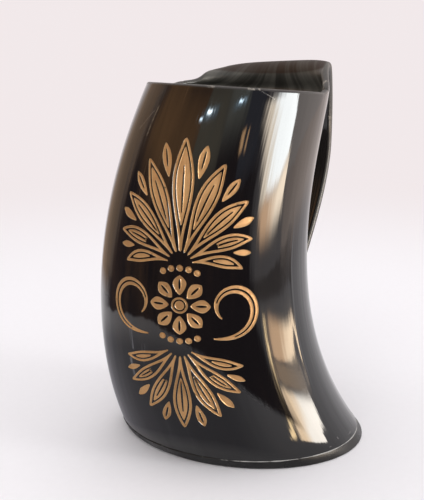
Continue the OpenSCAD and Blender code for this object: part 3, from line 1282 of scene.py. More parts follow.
class NodeTree:
    """Writes nodes and their links into a tree."""

    def __init__(self, tree: bpy.types.NodeTree) -> None:
        """Start with an empty tree."""
        self.tree = tree
        tree.nodes.clear()

    def node(self, kind: str, settings: dict[str, Any], sockets: dict[Any, Any]) -> bpy.types.Node:
        """Make a node.

        Args:
            kind: Its type.
            settings: Its own settings.
            sockets: Values or links for its sockets, by name or number.

        Returns:
            The node.
        """
        made = self.tree.nodes.new(kind)
        for key, value in settings.items():
            setattr(made, key, value)
        for key, value in sockets.items():
            socket = made.inputs[key]
            if isinstance(value, Value):
                self.tree.links.new(value.socket, socket)
            elif isinstance(value, tuple) and len(value) == 3 and socket.type == "RGBA":
                socket.default_value = (*value, 1.0)
            else:
                socket.default_value = value
        return made

    def value(self, kind: str, settings: dict[str, Any], sockets: dict[Any, Any],
              output: Any = 0) -> Value:
        """Make a node and take one of its outputs, by name or number."""
        return Value(self, self.node(kind, settings, sockets).outputs[output])

    def maths(self, operation: str, a: Any, b: Any) -> Value:
        """A Math node on two values."""
        return self.value("ShaderNodeMath", {"operation": operation}, {0: a, 1: b})


class ShaderTree(NodeTree):
    """Writes the nodes of one material or of the world."""

    def __init__(self, name: str, world: bpy.types.World | None = None) -> None:
        """Start an empty material, or empty a world.

        Args:
            name: The material's name.
            world: The world, where it isn't for a material.
        """
        self.owner = world or bpy.data.materials.new(name)
        self.owner.use_nodes = True
        super().__init__(self.owner.node_tree)

    def mixed(self, a: Any, b: Any, share: Any) -> Value:
        """Mix two colours by a share."""
        return self.value("ShaderNodeMix", {"data_type": "RGBA"}, {0: share, 6: a, 7: b}, 2)

    def vectors(self, operation: str, a: Any, b: Any, output: Any = 0) -> Value:
        """A Vector Math node on two vectors."""
        return self.value("ShaderNodeVectorMath", {"operation": operation}, {0: a, 1: b}, output)

    def place(self, scale: Sequence[float] = (1, 1, 1), attribute: str = "") -> Value:
        """Object coordinates, or a vector attribute, scaled.

        Args:
            scale: The scale along each axis.
            attribute: The attribute's name.

        Returns:
            The scaled place.
        """
        if attribute:
            source = self.value("ShaderNodeAttribute", {"attribute_name": attribute}, {}, "Vector")
        else:
            source = self.value("ShaderNodeTexCoord", {}, {}, "Object")
        return self.value("ShaderNodeMapping", {}, {"Vector": source, "Scale": tuple(scale)})

    def share(self, attribute: str) -> Value:
        """A number attribute of the mesh."""
        return self.value("ShaderNodeAttribute", {"attribute_name": attribute}, {}, "Fac")

    def noise(self, where: Value, scale: float, detail: float, roughness: float = 0.5) -> Value:
        """A noise texture's value."""
        return self.value("ShaderNodeTexNoise", {}, {
            "Vector": where, "Scale": scale, "Detail": detail, "Roughness": roughness})

    def axis(self, where: Value, name: str) -> Value:
        """One coordinate of a vector."""
        return self.value("ShaderNodeSeparateXYZ", {}, {0: where}, name)

    def line(self, where: Value, start: Vector, end: Vector, half: float) -> Value:
        """How near a place is to a line.

        Args:
            where: The place.
            start: Where the line begins.
            end: Where it ends.
            half: Half its width.

        Returns:
            1 on the line, easing to 0 at half its width.
        """
        along = end - start
        off = self.vectors("SUBTRACT", where, tuple(start))
        reach = self.vectors("DOT_PRODUCT", off, tuple(along / along.length_squared), "Value")
        foot = self.value("ShaderNodeVectorMath", {"operation": "SCALE"},
                          {0: tuple(along), 3: reach.clamped()})
        return self.vectors("DISTANCE", off, foot, "Value").ramped(half, 0.0)

    def bump(self, height: Value, distance: float, strength: float = 1.0,
             before: Value | None = None) -> Value:
        """A Bump node, on top of another where there is one."""
        below = {} if before is None else {"Normal": before}
        return self.value("ShaderNodeBump", {}, {
            "Height": height, "Distance": distance, "Strength": strength, **below})

    def background_rays(self) -> Value:
        """Find the rays that show the studio behind the cup.

        Returns:
            1 for a ray that comes from the camera, from polish or through glass.
        """
        path = self.node("ShaderNodeLightPath", {}, {}).outputs
        camera, glossy, through = (Value(self, path[f"Is {kind} Ray"])
                                   for kind in ("Camera", "Glossy", "Transmission"))
        return (camera + glossy + through).clamped()

    def blended(self, share: Value, first: Value, second: Value) -> Any:
        """Blend two shaders by a share and join them to the output."""
        return self.finish(self.value("ShaderNodeMixShader", {}, {0: share, 1: first, 2: second}))

    def finish(self, shader: Value) -> Any:
        """Join the last shader to the output.

        Args:
            shader: The shader.

        Returns:
            The material or the world.
        """
        kind = "World" if isinstance(self.owner, bpy.types.World) else "Material"
        self.node("ShaderNodeOutput" + kind, {}, {"Surface": shader})
        return self.owner

    def surface(self, sockets: dict[Any, Any]) -> bpy.types.Material:
        """End in one Principled BSDF with these sockets."""
        return self.finish(self.value("ShaderNodeBsdfPrincipled", {}, sockets))


# ----------------------------------------------------------------- finishes


@dataclass(frozen=True)
class Mark:
    """A grain line, scratch or rubbed streak on the wall.

    It runs from start to end, each a heading from the handle in degrees and a
    height up the wall in metres. Half is half its width, and share its strength.
    """

    start: Pair
    end: Pair
    half: float
    colour: Colour
    share: float = 0.6
    streaky: bool = False


@dataclass(frozen=True)
class PolishedHorn:
    """Black horn, polished, with brown streaks along the grain and fine scratches; the streaks are
    painted brighter on the lit side and the inside's colour is lifted, both as painted light.
    """

    form: HornForm
    black: Colour = (0.0018, 0.0017, 0.0020)
    brown: Colour = (0.0200, 0.0110, 0.0058)
    tan: Colour = (0.110, 0.066, 0.034)
    grey: Colour = (0.022, 0.022, 0.024)
    # Partly the duller inner face's own colour, partly painted reflection of the bright room.
    inside: Colour = (0.100, 0.096, 0.082)
    bend: Colour = (0.027, 0.0145, 0.0080)
    edge: Colour = (0.055, 0.050, 0.045)
    pale: Colour = (0.30, 0.27, 0.23)
    marks: tuple[Mark, ...] = (
        Mark((163.8, 0.1417), (162.0, 0.1303), 0.00050, (0.24, 0.19, 0.13), 0.5),
        Mark((161.0, 0.1396), (152.5, 0.1325), 0.00045, (0.18, 0.145, 0.11), 0.4),
        Mark((188.8, 0.1297), (187.8, 0.1237), 0.00030, (0.22, 0.15, 0.10)),
        Mark((165.2, 0.1494), (161.8, 0.1440), 0.00100, (0.001, 0.001, 0.001), 1.0),
        Mark((168.8, 0.0605), (170.0, 0.0506), 0.00150, (0.17, 0.17, 0.18), 1.0, True),
        Mark((177.0, 0.0527), (176.5, 0.0455), 0.00110, (0.17, 0.17, 0.18), 1.0, True),
        Mark((167.2, 0.0454), (167.8, 0.0374), 0.00110, (0.11, 0.112, 0.12), 1.0, True),
        Mark((224.5, 0.1498), (233.2, 0.1472), 0.00032, (0.36, 0.34, 0.31)),
        Mark((263.2, 0.0082), (263.4, 0.0074), 0.00036, (0.32, 0.30, 0.29)),
        Mark((275.2, 0.0061), (277.3, 0.0066), 0.00034, (0.34, 0.32, 0.31)),
        Mark((254.5, 0.0058), (274.8, 0.0062), 0.00030, (0.26, 0.24, 0.23)),
    )

    def wall_place(self, heading: float, height: float) -> Vector:
        """A place on the worked wall."""
        return Vector(self.form.surface(heading, height / self.form.rim_height))

    def grown(self, t: ShaderTree, streak: Value, hair: Value) -> Value:
        """The horn's black with its grain streaks, painted brighter on the lit side: partly grain,
        partly painted light.

        Args:
            t: The material's nodes.
            streak: Broad streaks along the grain.
            hair: Fine ones.

        Returns:
            The colour.
        """
        where = t.place()
        height = t.axis(where, "Z")
        # Painted light: lit is the side that faces the light, and the streak colours below are
        # strongest there.
        lit = (t.axis(where, "Y") * 0.85 - t.axis(where, "X") * 0.5).ramped(-0.004, 0.040)
        broad = t.noise(t.place((1, 1, 0.055), "grain"), 34, 2)
        # Brown grain streaks, painted stronger on the lit side as painted light.
        brown_streak_and_light = streak.ramped(0.36, 0.66) * (0.35 + 0.65 * broad.ramped(0.34, 0.60))
        brown_streak_and_light = brown_streak_and_light * height.ramped(0.035, 0.085) * lit + 0.10 * streak.ramped(0.5, 0.75)
        colour = t.mixed(self.black, self.brown, brown_streak_and_light.clamped())
        # Tan streaks high on the lit side: a painted highlight over the grain.
        tan_streak_and_highlight = hair.ramped(0.60, 0.72) * height.ramped(0.095, 0.125) * lit.ramped(0.45, 0.9)
        colour = t.mixed(colour, self.tan, tan_streak_and_highlight * 0.5)
        # Grey streaks low on the lit side: a painted sheen over the grain, with a little grey all
        # round.
        grey_streak_and_sheen = hair.ramped(0.56, 0.74) * height.ramped(0.080, 0.030) * lit.ramped(0.3, 0.9)
        return t.mixed(colour, self.grey, grey_streak_and_sheen * 0.6 + 0.12 * hair.ramped(0.70, 0.82))

    def material(self) -> bpy.types.Material:
        """Write the material.

        Returns:
            The material, which reads the mesh's grain, inner, lip and bend attributes.
        """
        t = ShaderTree("polished_horn")
        where = t.place()
        inner, lip, bent = t.share("inner"), t.share("lip"), t.share("bend")
        streak = t.noise(t.place((1, 1, 0.055), "grain"), 210, 4, 0.62)
        hair = t.noise(t.place((1, 1, 0.03), "grain"), 560, 2, 0.55)
        colour = self.grown(t, streak, hair)
        # Painted reflection: the inside is lifted far above the horn's black, partly for the duller
        # inner face, partly to stand in for the bright room that the inside mirrors.
        dim = tuple(0.3 * c for c in self.inside)
        colour = t.mixed(colour, t.mixed(self.inside, dim, streak.ramped(0.35, 0.7)), inner)
        heated = bent.ramped(0.1, 0.9) * (0.55 + 0.45 * streak.ramped(0.3, 0.7))
        colour = t.mixed(colour, self.bend, heated)
        nick = t.noise(t.place((1, 1, 0.8)), 160, 3, 0.7).ramped(0.60, 0.68) * lip
        colour = t.mixed(colour, self.edge, lip * 0.5)
        colour = t.mixed(colour, self.pale, nick * 0.8)
        ragged = t.noise(where, 900, 3, 0.7).ramped(0.30, 0.58)
        streaky = hair.ramped(0.42, 0.64)
        for mark in self.marks:
            ends = (self.wall_place(*mark.start), self.wall_place(*mark.end))
            line = t.line(where, *ends, mark.half) * (streaky if mark.streaky else ragged)
            colour = t.mixed(colour, mark.colour, line * mark.share)
        rough = (0.045 + 0.045 * t.noise(where, 38, 3, 0.6).ramped(0.35, 0.7) + 0.30 * inner
                 + 0.25 * nick + 0.30 * bent + 0.20 * lip)
        scratch = t.noise(t.place((0.6, 0.6, 0.04), "grain"), 900, 2, 0.6)
        cross = t.noise(t.place((0.05, 0.6, 0.5)), 700, 2)
        scraped = t.noise(t.place((1, 1, 0.05), "grain"), 150, 3, 0.55)
        normal = t.bump(scratch, 0.000010, 0.5, t.bump(scraped, 0.00020))
        normal = t.bump(cross, 0.000006, 0.4, normal)
        return t.surface({"Base Color": colour, "Roughness": rough, "IOR": 1.54, "Normal": normal})


@dataclass(frozen=True)
class PlateHorn:
    """The base plate's horn: satin, with rubbed streaks."""

    dark: Colour = (0.0035, 0.0033, 0.0036)
    light: Colour = (0.0130, 0.0120, 0.0115)

    def material(self) -> bpy.types.Material:
        """Write the material.

        Returns:
            The material.
        """
        t = ShaderTree("plate_horn")
        streak = t.noise(t.place((0.05, 0.7, 1)), 160, 4, 0.6)
        filed = t.noise(t.place((0.2, 0.2, 1)), 900, 2)
        return t.surface({
            "Base Color": t.mixed(self.dark, self.light, streak.ramped(0.42, 0.75)),
            "Roughness": 0.24 + 0.2 * t.noise(t.place(), 60, 3).ramped(0.3, 0.7),
            "IOR": 1.54, "Specular IOR Level": 0.3, "Normal": t.bump(filed, 0.00002, 0.5)})


@dataclass(frozen=True)
class DriedGlue:
    """Glue that has dried whitish and dusty, dark where it is thin, and whiter towards -Y, the
    right-front side.
    """

    white: Colour = (0.34, 0.335, 0.32)
    thin: Colour = (0.018, 0.017, 0.016)

    def material(self) -> bpy.types.Material:
        """Write the material.

        Returns:
            The material.
        """
        t = ShaderTree("dried_glue")
        where = t.place()
        # Whiter towards -Y, the right-front side of the seam.
        side = t.axis(where, "Y").ramped(-0.004, -0.030)
        thick = (t.noise(where, 210, 4, 0.65) + 0.34 * side).ramped(0.56, 0.78)
        return t.surface({"Base Color": t.mixed(self.thin, self.white, thick), "Roughness": 0.62,
                          "Normal": t.bump(t.noise(where, 2400, 2), 0.00008, 0.8)})


@dataclass(frozen=True)
class Gilding:
    """Matt gilding brushed into the pockets: fine grain, rubbed patches, and walls painted brighter
    as a painted highlight.
    """

    gold: Colour = (0.60, 0.345, 0.145)
    worn: Colour = (0.46, 0.250, 0.098)
    painted_wall_highlight: Colour = (0.74, 0.53, 0.27)
    bare: Colour = (0.035, 0.019, 0.010)

    def material(self) -> bpy.types.Material:
        """Write the material.

        Returns:
            The material, which reads the mesh's wall attribute.
        """
        t = ShaderTree("matt_gilding")
        where = t.place()
        grain = t.noise(where, 1500, 3, 0.7)
        brush = t.noise(t.place((1, 1, 0.12)), 620, 3, 0.6)
        colour = t.mixed(self.worn, self.gold, t.noise(where, 75, 3, 0.6).ramped(0.32, 0.62))
        colour = t.mixed(colour, self.worn, grain.ramped(0.52, 0.74) * 0.55)
        # Painted highlight: every pocket wall is painted brighter, standing in for walls that catch
        # the light.
        colour = t.mixed(colour, self.painted_wall_highlight, t.share("wall").ramped(0.35, 0.8))
        colour = t.mixed(colour, self.bare, t.noise(where, 520, 2, 0.6).ramped(0.68, 0.76) * 0.7)
        return t.surface({"Base Color": colour, "Metallic": 0.35,
                          "Roughness": 0.42 + 0.22 * grain.ramped(0.35, 0.7),
                          "Normal": t.bump(grain, 0.00006, 0.55, t.bump(brush, 0.00005, 0.4))})


@dataclass(frozen=True)
class PinHorn:
    """The pins' brown horn, with end grain rings."""

    dark: Colour = (0.020, 0.012, 0.008)
    light: Colour = (0.085, 0.050, 0.028)

    def material(self) -> bpy.types.Material:
        """Write the material.

        Returns:
            The material.
        """
        t = ShaderTree("pin_horn")
        ring = t.noise(t.place(), 900, 3, 0.6)
        return t.surface({"Base Color": t.mixed(self.dark, self.light, ring.ramped(0.38, 0.68)),
                          "Roughness": 0.28 + 0.15 * ring, "IOR": 1.54,
                          "Normal": t.bump(ring, 0.00003, 0.5)})


@dataclass(frozen=True)
class Paper:
    """The pale ground, which fades into the studio's colour away from the cup."""

    near: Colour = (0.93, 0.912, 0.935)
    far: Colour = (0.885, 0.815, 0.825)
    start: float = 0.20
    end: float = 0.62

    def material(self) -> bpy.types.Material:
        """Write the material.

        Returns:
            The material.
        """
        t = ShaderTree("paper")
        where = t.place()
        x, y = t.axis(where, "X"), t.axis(where, "Y")
        shade = tuple(0.97 * c for c in self.near)
        ground = t.value("ShaderNodeBsdfPrincipled", {}, {
            "Base Color": t.mixed(self.near, shade, t.noise(where, 300, 2)),
            "Roughness": 0.75, "Specular IOR Level": 0.0})
        glow = t.value("ShaderNodeEmission", {}, {"Color": self.far, "Strength": 1.0})
        away = ((x * x + y * y) ** 0.5).ramped(self.start, self.end)
        return t.blended(t.background_rays() * away, ground, glow)


# ------------------------------------------------------------ geometry nodes


class GeometryTree(NodeTree):
    """Writes a Geometry Nodes tree with named inputs."""

    def __init__(self, name: str) -> None:
        """Start a tree with a geometry input and output.

        Args:
            name: The tree's name.
        """
        super().__init__(bpy.data.node_groups.new(name, "GeometryNodeTree"))
        for way in ("INPUT", "OUTPUT"):
            self.tree.interface.new_socket(name="Geometry", in_out=way,
                                           socket_type="NodeSocketGeometry")
        self.identifiers: dict[str, str] = {}
        self.inputs = self.node("NodeGroupInput", {}, {})
        self.start = Value(self, self.inputs.outputs[0])

    def size(self, name: str) -> Value:
        """Add a named input.

        Args:
            name: Its name.

        Returns:
            Its value.
        """
        made = self.tree.interface.new_socket(name=name, in_out="INPUT",
                                              socket_type="NodeSocketFloat")
        self.identifiers[name] = made.identifier
        return Value(self, next(s for s in self.inputs.outputs if s.identifier == made.identifier))

    def finish(self, geometry: Value, material: bpy.types.Material) -> None:
        """End in Realize Instances, smooth shading and Set Material.

        Args:
            geometry: What the tree has made.
            material: Its finish.
        """
        real = self.value("GeometryNodeRealizeInstances", {}, {"Geometry": geometry})
        soft = self.value("GeometryNodeSetShadeSmooth", {}, {"Geometry": real})
        dressed = self.value("GeometryNodeSetMaterial", {},
                             {"Geometry": soft, "Material": material})
        self.node("NodeGroupOutput", {}, {0: dressed})

    def run(self, name: str, start: bpy.types.Mesh, values: dict[str, Any]) -> bpy.types.Object:
        """Run the tree on a mesh and keep the result as a plain mesh.

        Args:
            name: The piece's name.
            start: The mesh that it starts from.
            values: The named inputs.

        Returns:
            The piece, at the origin, with no modifier.
        """
        holder = linked(name + "_start", start)
        modifier = holder.modifiers.new("shape", "NODES")
        modifier.node_group = self.tree
        for key, value in values.items():
            modifier[self.identifiers[key]] = value
        graph = bpy.context.evaluated_depsgraph_get()
        mesh = bpy.data.meshes.new_from_object(holder.evaluated_get(graph), depsgraph=graph)
        holder.modifiers.remove(modifier)
        bpy.data.objects.remove(holder)
        mesh.name = name
        return linked(name, mesh)


def dome_tree(material: bpy.types.Material) -> GeometryTree:
    """A tree that sets a low dome on each point, square to the wall.

    Args:
        material: The domes' finish.

    Returns:
        The tree, with inputs for the dome's radius and its height as a share.
    """
    g = GeometryTree("domes")
    radius, share = g.size("Dome radius"), g.size("Height share")
    ball = g.value("GeometryNodeMeshUVSphere", {}, {"Segments": 20, "Rings": 12, "Radius": radius})
    scale = g.value("ShaderNodeCombineXYZ", {}, {0: 1.0, 1: 1.0, 2: share})
    flat = g.value("GeometryNodeTransform", {}, {"Geometry": ball, "Scale": scale})
    facing = g.value("GeometryNodeInputNamedAttribute", {"data_type": "FLOAT_VECTOR"},
                     {"Name": "facing"})
    turn = g.value("FunctionNodeAlignRotationToVector", {"axis": "Z"}, {"Vector": facing})
    domes = g.value("GeometryNodeInstanceOnPoints", {},
                    {"Points": g.start, "Instance": flat, "Rotation": turn})
    g.finish(domes, material)
    return g


def squeeze_tree(material: bpy.types.Material) -> GeometryTree:
    """A tree that lays an uneven bead of squeezed-out glue along a closed line.

    Args:
        material: The glue's finish.

    Returns:
        The tree, with inputs for the bead's radius, unevenness and seed.
    """
    thinnest, lump_scale = 0.25, 190.0
    g = GeometryTree("squeezed_glue")
    radius, uneven, seed = g.size("Bead radius"), g.size("Unevenness"), g.size("Seed")
    line = g.value("GeometryNodeMeshToCurve", {}, {0: g.start})
    place = g.value("GeometryNodeInputPosition", {}, {})
    lumps = g.value("ShaderNodeTexNoise", {"noise_dimensions": "4D"},
                    {"Vector": place, "W": seed, "Scale": lump_scale, "Detail": 3.0})
    size = g.maths("MAXIMUM", (lumps - 0.5) * uneven * 4.0 + 1.0, thinnest) * radius
    ring = g.value("GeometryNodeCurvePrimitiveCircle", {}, {"Resolution": 8, "Radius": 1.0})
    bead = g.value("GeometryNodeCurveToMesh", {},
                   {"Curve": line, "Profile Curve": ring, "Scale": size})
    g.finish(bead, material)
    return g


# -------------------------------------------------------------- sub-assemblies


@dataclass
class HornVessel:
    """The horn: the cup's wall, its lip and the strap, in one piece."""

    form: HornForm
    strap: StrapForm
    wall: Unrolled
    sheet: Sheet
    inner_rows: int = 56
    strap_rows: tuple[int, int, int, int] = (24, 30, 46, 12)
    lip_steps: int = 7
    bend_start: float = 0.60
    bulge: float = 0.8
    sharp: float = 38.0
    grain_radius: float = 0.04
    patch: Patchwork = field(default_factory=Patchwork)

    def grain(self, heading: Any, along: Any) -> Array:
        """Where a point lies in the grain, which runs up the horn and on along the strap."""
        across = self.grain_radius * ray(heading)
        return stacked(across[..., 0], across[..., 1], along)

    def strap_places(self) -> list[float]:
        """The strap's rows, after the root and before the end's round edge.

        Returns:
            Their places along the strap.
        """
        places = [part + (i + 1) / rows
                  for part, rows in enumerate(self.strap_rows) for i in range(rows)]
        last = 4 - self.strap.thick / 2 * self.bulge / self.strap.lap_length
        return [at for at in places if at < last - 0.02] + [last]

    def strap_grids(self, headings: Array) -> tuple[Array, Array, Array]:
        """The strap's underside and top.

        Args:
            headings: The headings of its columns, from -root_arc to root_arc.

        Returns:
            Rows of the underside, rows of the top, and each row's length along from the rim.
        """
        under, over = [], []
        across, ends = headings / self.form.root_arc, np.array([-1.0, 1.0])
        narrow_by, first_step = self.strap.thick / 2 * self.bulge, 1.5 * MM
        for along in self.strap_places():
            reach = self.strap.under(ends, along)
            half = np.linalg.norm(reach[1] - reach[0]) / 2
            places = across * (1 - smooth(along / 0.35) * narrow_by / half)
            under.append(self.strap.under(places, along))
            over.append(under[-1] + self.strap.through(places, along))
        middle = np.array([row[len(headings) // 2] for row in under])
        steps = np.linalg.norm(np.diff(middle, axis=0), axis=1)
        return np.array(under), np.array(over), first_step + np.append(0.0, np.cumsum(steps))

    def build(self) -> bpy.types.Object:
        """Build the horn's mesh.

        Returns:
            The piece.
        """
        form, wall, patch = self.form, self.wall, self.patch
        share = self.sheet.share(wall.places[:, 1])
        outer = patch.add(form.surface(wall.headings, share, wall.depth),
                          self.grain(wall.headings, share * form.rim_height))
        patch.faces += [tuple(corners) for corners in outer[wall.triangles].tolist()]
        columns = wall.headings[wall.top]
        closer_up = 1 - (1 - np.linspace(0, 1, self.inner_rows + 1)) ** 1.15
        inner_share = blend(form.seam_share, 1.0, closer_up)[:, None]
        inner = patch.add(form.surface(columns[None], inner_share, form.wall_at(inner_share)),
                          self.grain(columns[None], inner_share * form.rim_height), 1.0)
        patch.lattice(inner, closed=True, flip=True)
        patch.lattice(np.stack([outer[wall.bottom], inner[0]]), closed=True, flip=True)

        off = signed(columns)
        at_root = np.abs(off) <= form.root_arc + 0.01
        arc, free = np.where(at_root)[0], np.where(~at_root)[0]
        arc, free = arc[np.argsort(off[arc])], free[np.argsort(columns[free] % 360)]
        rim_out, rim_in = outer[wall.top], inner[-1]
        below, above = self.add_strap(off[arc], rim_out[arc], rim_in[arc])
        ring_out, ring_in = (
            np.concatenate([grid[:1, -1], rim[free], grid[:, 0], grid[-1, 1:], grid[-2:0:-1, -1]])
            for grid, rim in ((below, rim_out), (above, rim_in)))
        return self.finish_mesh(*self.close_lip(ring_out, ring_in))

    def add_strap(self, headings: Array, rim_out: Array, rim_in: Array) -> tuple[Array, Array]:
        """Add the strap's underside and top, joined to the rim.

        Args:
            headings: The headings of its columns.
            rim_out: The outer face's points on the rim there.
            rim_in: The inner face's points there.

        Returns:
            The numbers of the underside's points and of the top's, row by row from the rim.
        """
        patch = self.patch
        under, over, along = self.strap_grids(headings)
        grain = self.grain(headings[None], self.form.rim_height + along[:, None])
        at = np.array(self.strap_places())[:, None]
        below = np.vstack([rim_out[None], patch.add(under, grain, 0.15)])
        inner = blend(1.0, 0.12, smooth((at - 0.9) / 0.25))
        bent = smooth((at - self.bend_start) / 0.06) * smooth((1.5 - at) / 0.4)
        above = np.vstack([rim_in[None], patch.add(over, grain, inner, bent)])
        patch.lattice(below)
        patch.lattice(above, flip=True)
        return below, above

    def close_lip(self, ring_out: Array, ring_in: Array) -> tuple[int, int]:
        """Round the edge between the outer and the inner face, along the rim and the strap.

        Args:
            ring_out: The outer face's edge, in order.
            ring_in: The inner face's edge, in the same order.

        Returns:
            The number of the lip's first point, and the number after its last.
        """
        patch = self.patch
        points, grains = np.vstack(patch.points), np.vstack(patch.grain)
        a, b = points[ring_out], points[ring_in]
        middle = (a + b) / 2
        tangent = np.roll(middle, -2, axis=0) - np.roll(middle, 2, axis=0)
        out = unit(np.cross(tangent, b - a))
        out = out * np.sign(out[:6, 2].mean())
        reach = np.linalg.norm(b - a, axis=1, keepdims=True) / 2 * self.bulge
        rows, first = [ring_out], patch.total
        for i in range(1, self.lip_steps):
            share = i / self.lip_steps
            turn = math.pi * share
            ring = middle + (a - middle) * math.cos(turn) + out * reach * math.sin(turn)
            rows.append(patch.add(ring, blend(grains[ring_out], grains[ring_in], share), share))
        patch.lattice(np.array([*rows, ring_in]), closed=True)
        return first, patch.total

    def finish_mesh(self, lip_start: int, lip_end: int) -> bpy.types.Object:
        """Make the object, its attributes and the wall's true shading.

        Args:
            lip_start: The number of the lip's first point.
            lip_end: The number after its last.

        Returns:
            The piece.
        """
        patch = self.patch
        used = np.unique(np.concatenate([np.array(face) for face in patch.faces]))
        fresh = np.full(patch.total, -1)
        fresh[used] = np.arange(len(used))
        faces = [tuple(fresh[list(face)].tolist()) for face in patch.faces]
        piece = solid("horn", np.vstack(patch.points)[used], faces, self.sharp)
        mesh = piece.data
        lip = np.zeros(patch.total)
        lip[lip_start:lip_end] = 1.0
        for name, values in (("inner", np.concatenate(patch.inner)), ("lip", lip),
                             ("bend", np.concatenate(patch.bend)),
                             ("grain", np.vstack(patch.grain))):
            write(mesh, name, values[used])
        corners = np.zeros(len(mesh.loops), np.int32)
        starts = np.zeros(len(mesh.polygons), np.int32)
        mesh.loops.foreach_get("vertex_index", corners)
        mesh.polygons.foreach_get("loop_start", starts)
        normals = np.zeros((len(corners), 3))
        level = np.where(self.wall.groups < 0)[0]
        loops = (starts[level][:, None] + np.arange(3)).ravel()
        old = used[corners[loops]]
        share = self.sheet.share(self.wall.places[old, 1])
        normals[loops] = self.form.facing(self.wall.headings[old], share)
        mesh.normals_split_custom_set(normals.tolist())
        return piece


@dataclass
class GiltWork:
    """The gilding in the pockets: a thin skin for each group of motifs, and the bead domes."""

    form: HornForm
    wall: Unrolled
    sheet: Sheet
    ornament: Ornament
    skin: float = 0.00009
    tuck: float = 0.00003
    under: float = 0.000012
    sharp: float = 34.0
    dome_radius: float = 0.00092
    dome_share: float = 0.42
    dome_depth: float = 0.0004

    def skin_mesh(self, name: str) -> bpy.types.Object:
        """Build one group's skin as a thin closed solid.

        Args:
            name: The group.

        Returns:
            The piece.
        """
        wall = self.wall
        used, corners = np.unique(wall.triangles[wall.groups == wall.names.index(name)],
                                  return_inverse=True)
        corners = corners.reshape(-1, 3)
        deep = wall.depth[used]
        floor = deep > 0
        headings, share = wall.headings[used], self.sheet.share(wall.places[used, 1])
        top, low = (self.form.surface(headings, share, np.where(floor, deep - above, tucked))
                    for above, tucked in ((self.skin, self.tuck), (self.under, 2 * self.tuck)))
        n = len(used)
        directed = {(int(a), int(b)) for face in corners for a, b in zip(face, np.roll(face, -1))}
        rim = sorted((a, b) for a, b in directed if (b, a) not in directed)
        faces = [tuple(face) for face in [*corners.tolist(), *(n + corners[:, ::-1]).tolist()]]
        faces += [(b, a, n + a, n + b) for a, b in rim]
        piece = solid(name, np.vstack([top, low]), faces, self.sharp)
        write(piece.data, "wall", np.tile(~floor, 2))
        return piece

    def domes(self, material: bpy.types.Material) -> bpy.types.Object:
        """Build the beads' domes.

        Args:
            material: The gilding.

        Returns:
            The domes, as one piece.
        """
        where = self.sheet.unrolled(np.array(self.ornament.bead_places()))
        headings, share = self.sheet.heading_at(where[:, 0]), self.sheet.share(where[:, 1])
        mesh = bpy.data.meshes.new("bead_points")
        mesh.from_pydata(self.form.surface(headings, share, self.dome_depth).tolist(), [], [])
        write(mesh, "facing", self.form.facing(headings, share))
        return dome_tree(material).run("bead_domes", mesh, {
            "Dome radius": self.dome_radius, "Height share": self.dome_share})

    def build(self) -> None:
        """Build and dress every group."""
        material = Gilding().material()
        for name in self.wall.names:
            dress(self.skin_mesh(name), material, Slot.GILDING, name)
        dress(self.domes(material), material, Slot.GILDING)


@dataclass
class BasePlate:
    """The plate glued under the foot, and the dried glue in the seam."""

    form: HornForm
    thick: float = 0.004
    plug_height: float = 0.0035
    plug_clearance: float = 0.0002
    round_edge: float = 0.0009
    soft_edge: float = 0.0002
    steps: int = 6
    sharp: float = 40.0
    glue_radius: float = 0.00022
    glue_gap: float = 0.00001
    glue_inset: float = 0.00005
    bead_inset: float = 0.00006

    def ring(self, s: float, inset: float, z: float, step: float = 2.0) -> Array:
        """An oval of the foot at height z, with points some degrees apart."""
        points = self.form.wall_point(np.arange(0, 360, step), s, inset)
        points[:, 2] = z
        return points

    def plate(self) -> bpy.types.Object:
        """Build the plate with its step, its round bottom edge and its top edge.

        Returns:
            The piece.
        """
        seam, top, soft = self.form.seam_share, self.thick, self.soft_edge
        rings = [self.ring(0.0, inset, 0.0) for inset in (0.022, 0.010, 0.003)]
        for i in range(self.steps + 1):
            turn = math.pi / 2 * i / self.steps
            z = self.round_edge * (1 - math.cos(turn))
            inset = self.round_edge * (1 - math.sin(turn))
            rings.append(self.ring(z / self.form.rim_height, inset, z))
        rings += [self.ring(top / self.form.rim_height, inset, z)
                  for z, inset in ((top - soft, 0.0), (top - 0.3 * soft, 0.3 * soft), (top, soft))]
        plug = self.form.wall_at(seam) + self.plug_clearance
        floor = self.form.seam_height + self.plug_height
        rings += [self.ring(seam, plug + inset, z)
                  for z, inset in ((top, 0.0), (floor - 2 * soft, 0.0), (floor, 2 * soft),
                                   (floor, 0.006), (floor, 0.018))]
        return solid("base_plate_worked", *capped(rings, rings[0].mean(0), rings[-1].mean(0)),
                     self.sharp)

    def glue(self, material: bpy.types.Material) -> bpy.types.Object:
        """Build the glue film and the bead squeezed out of it.

        Args:
            material: The glue's finish.

        Returns:
            The piece.
        """
        seam, height = self.form.seam_share, self.form.seam_height
        low, high = self.thick + self.glue_gap, height - self.glue_gap
        outer, inner = self.glue_inset, self.form.wall_at(seam)
        rings = [self.ring(seam, inset, z)
                 for inset, z in ((outer, low), (outer, high), (inner, high), (inner, low))]
        film = solid("glue_film", np.vstack(rings),
                     ring_faces(len(rings), len(rings[0]), looped=True))
        line = self.ring(seam, self.bead_inset, (self.thick + height) / 2, 0.6)
        n = len(line)
        mesh = bpy.data.meshes.new("seam_line")
        mesh.from_pydata(line.tolist(), [(i, (i + 1) % n) for i in range(n)], [])
        bead = squeeze_tree(material).run("glue_bead", mesh, {
            "Bead radius": self.glue_radius, "Unevenness": 0.9, "Seed": 4.0})
        return merged("seam_glue", [film, bead])

    def build(self) -> None:
        """Build and dress the plate and the glue."""
        dress(self.plate(), PlateHorn().material(), Slot.PLATE, "base_plate")
        material = DriedGlue().material()
        dress(self.glue(material), material, Slot.GLUE, "base_glue")


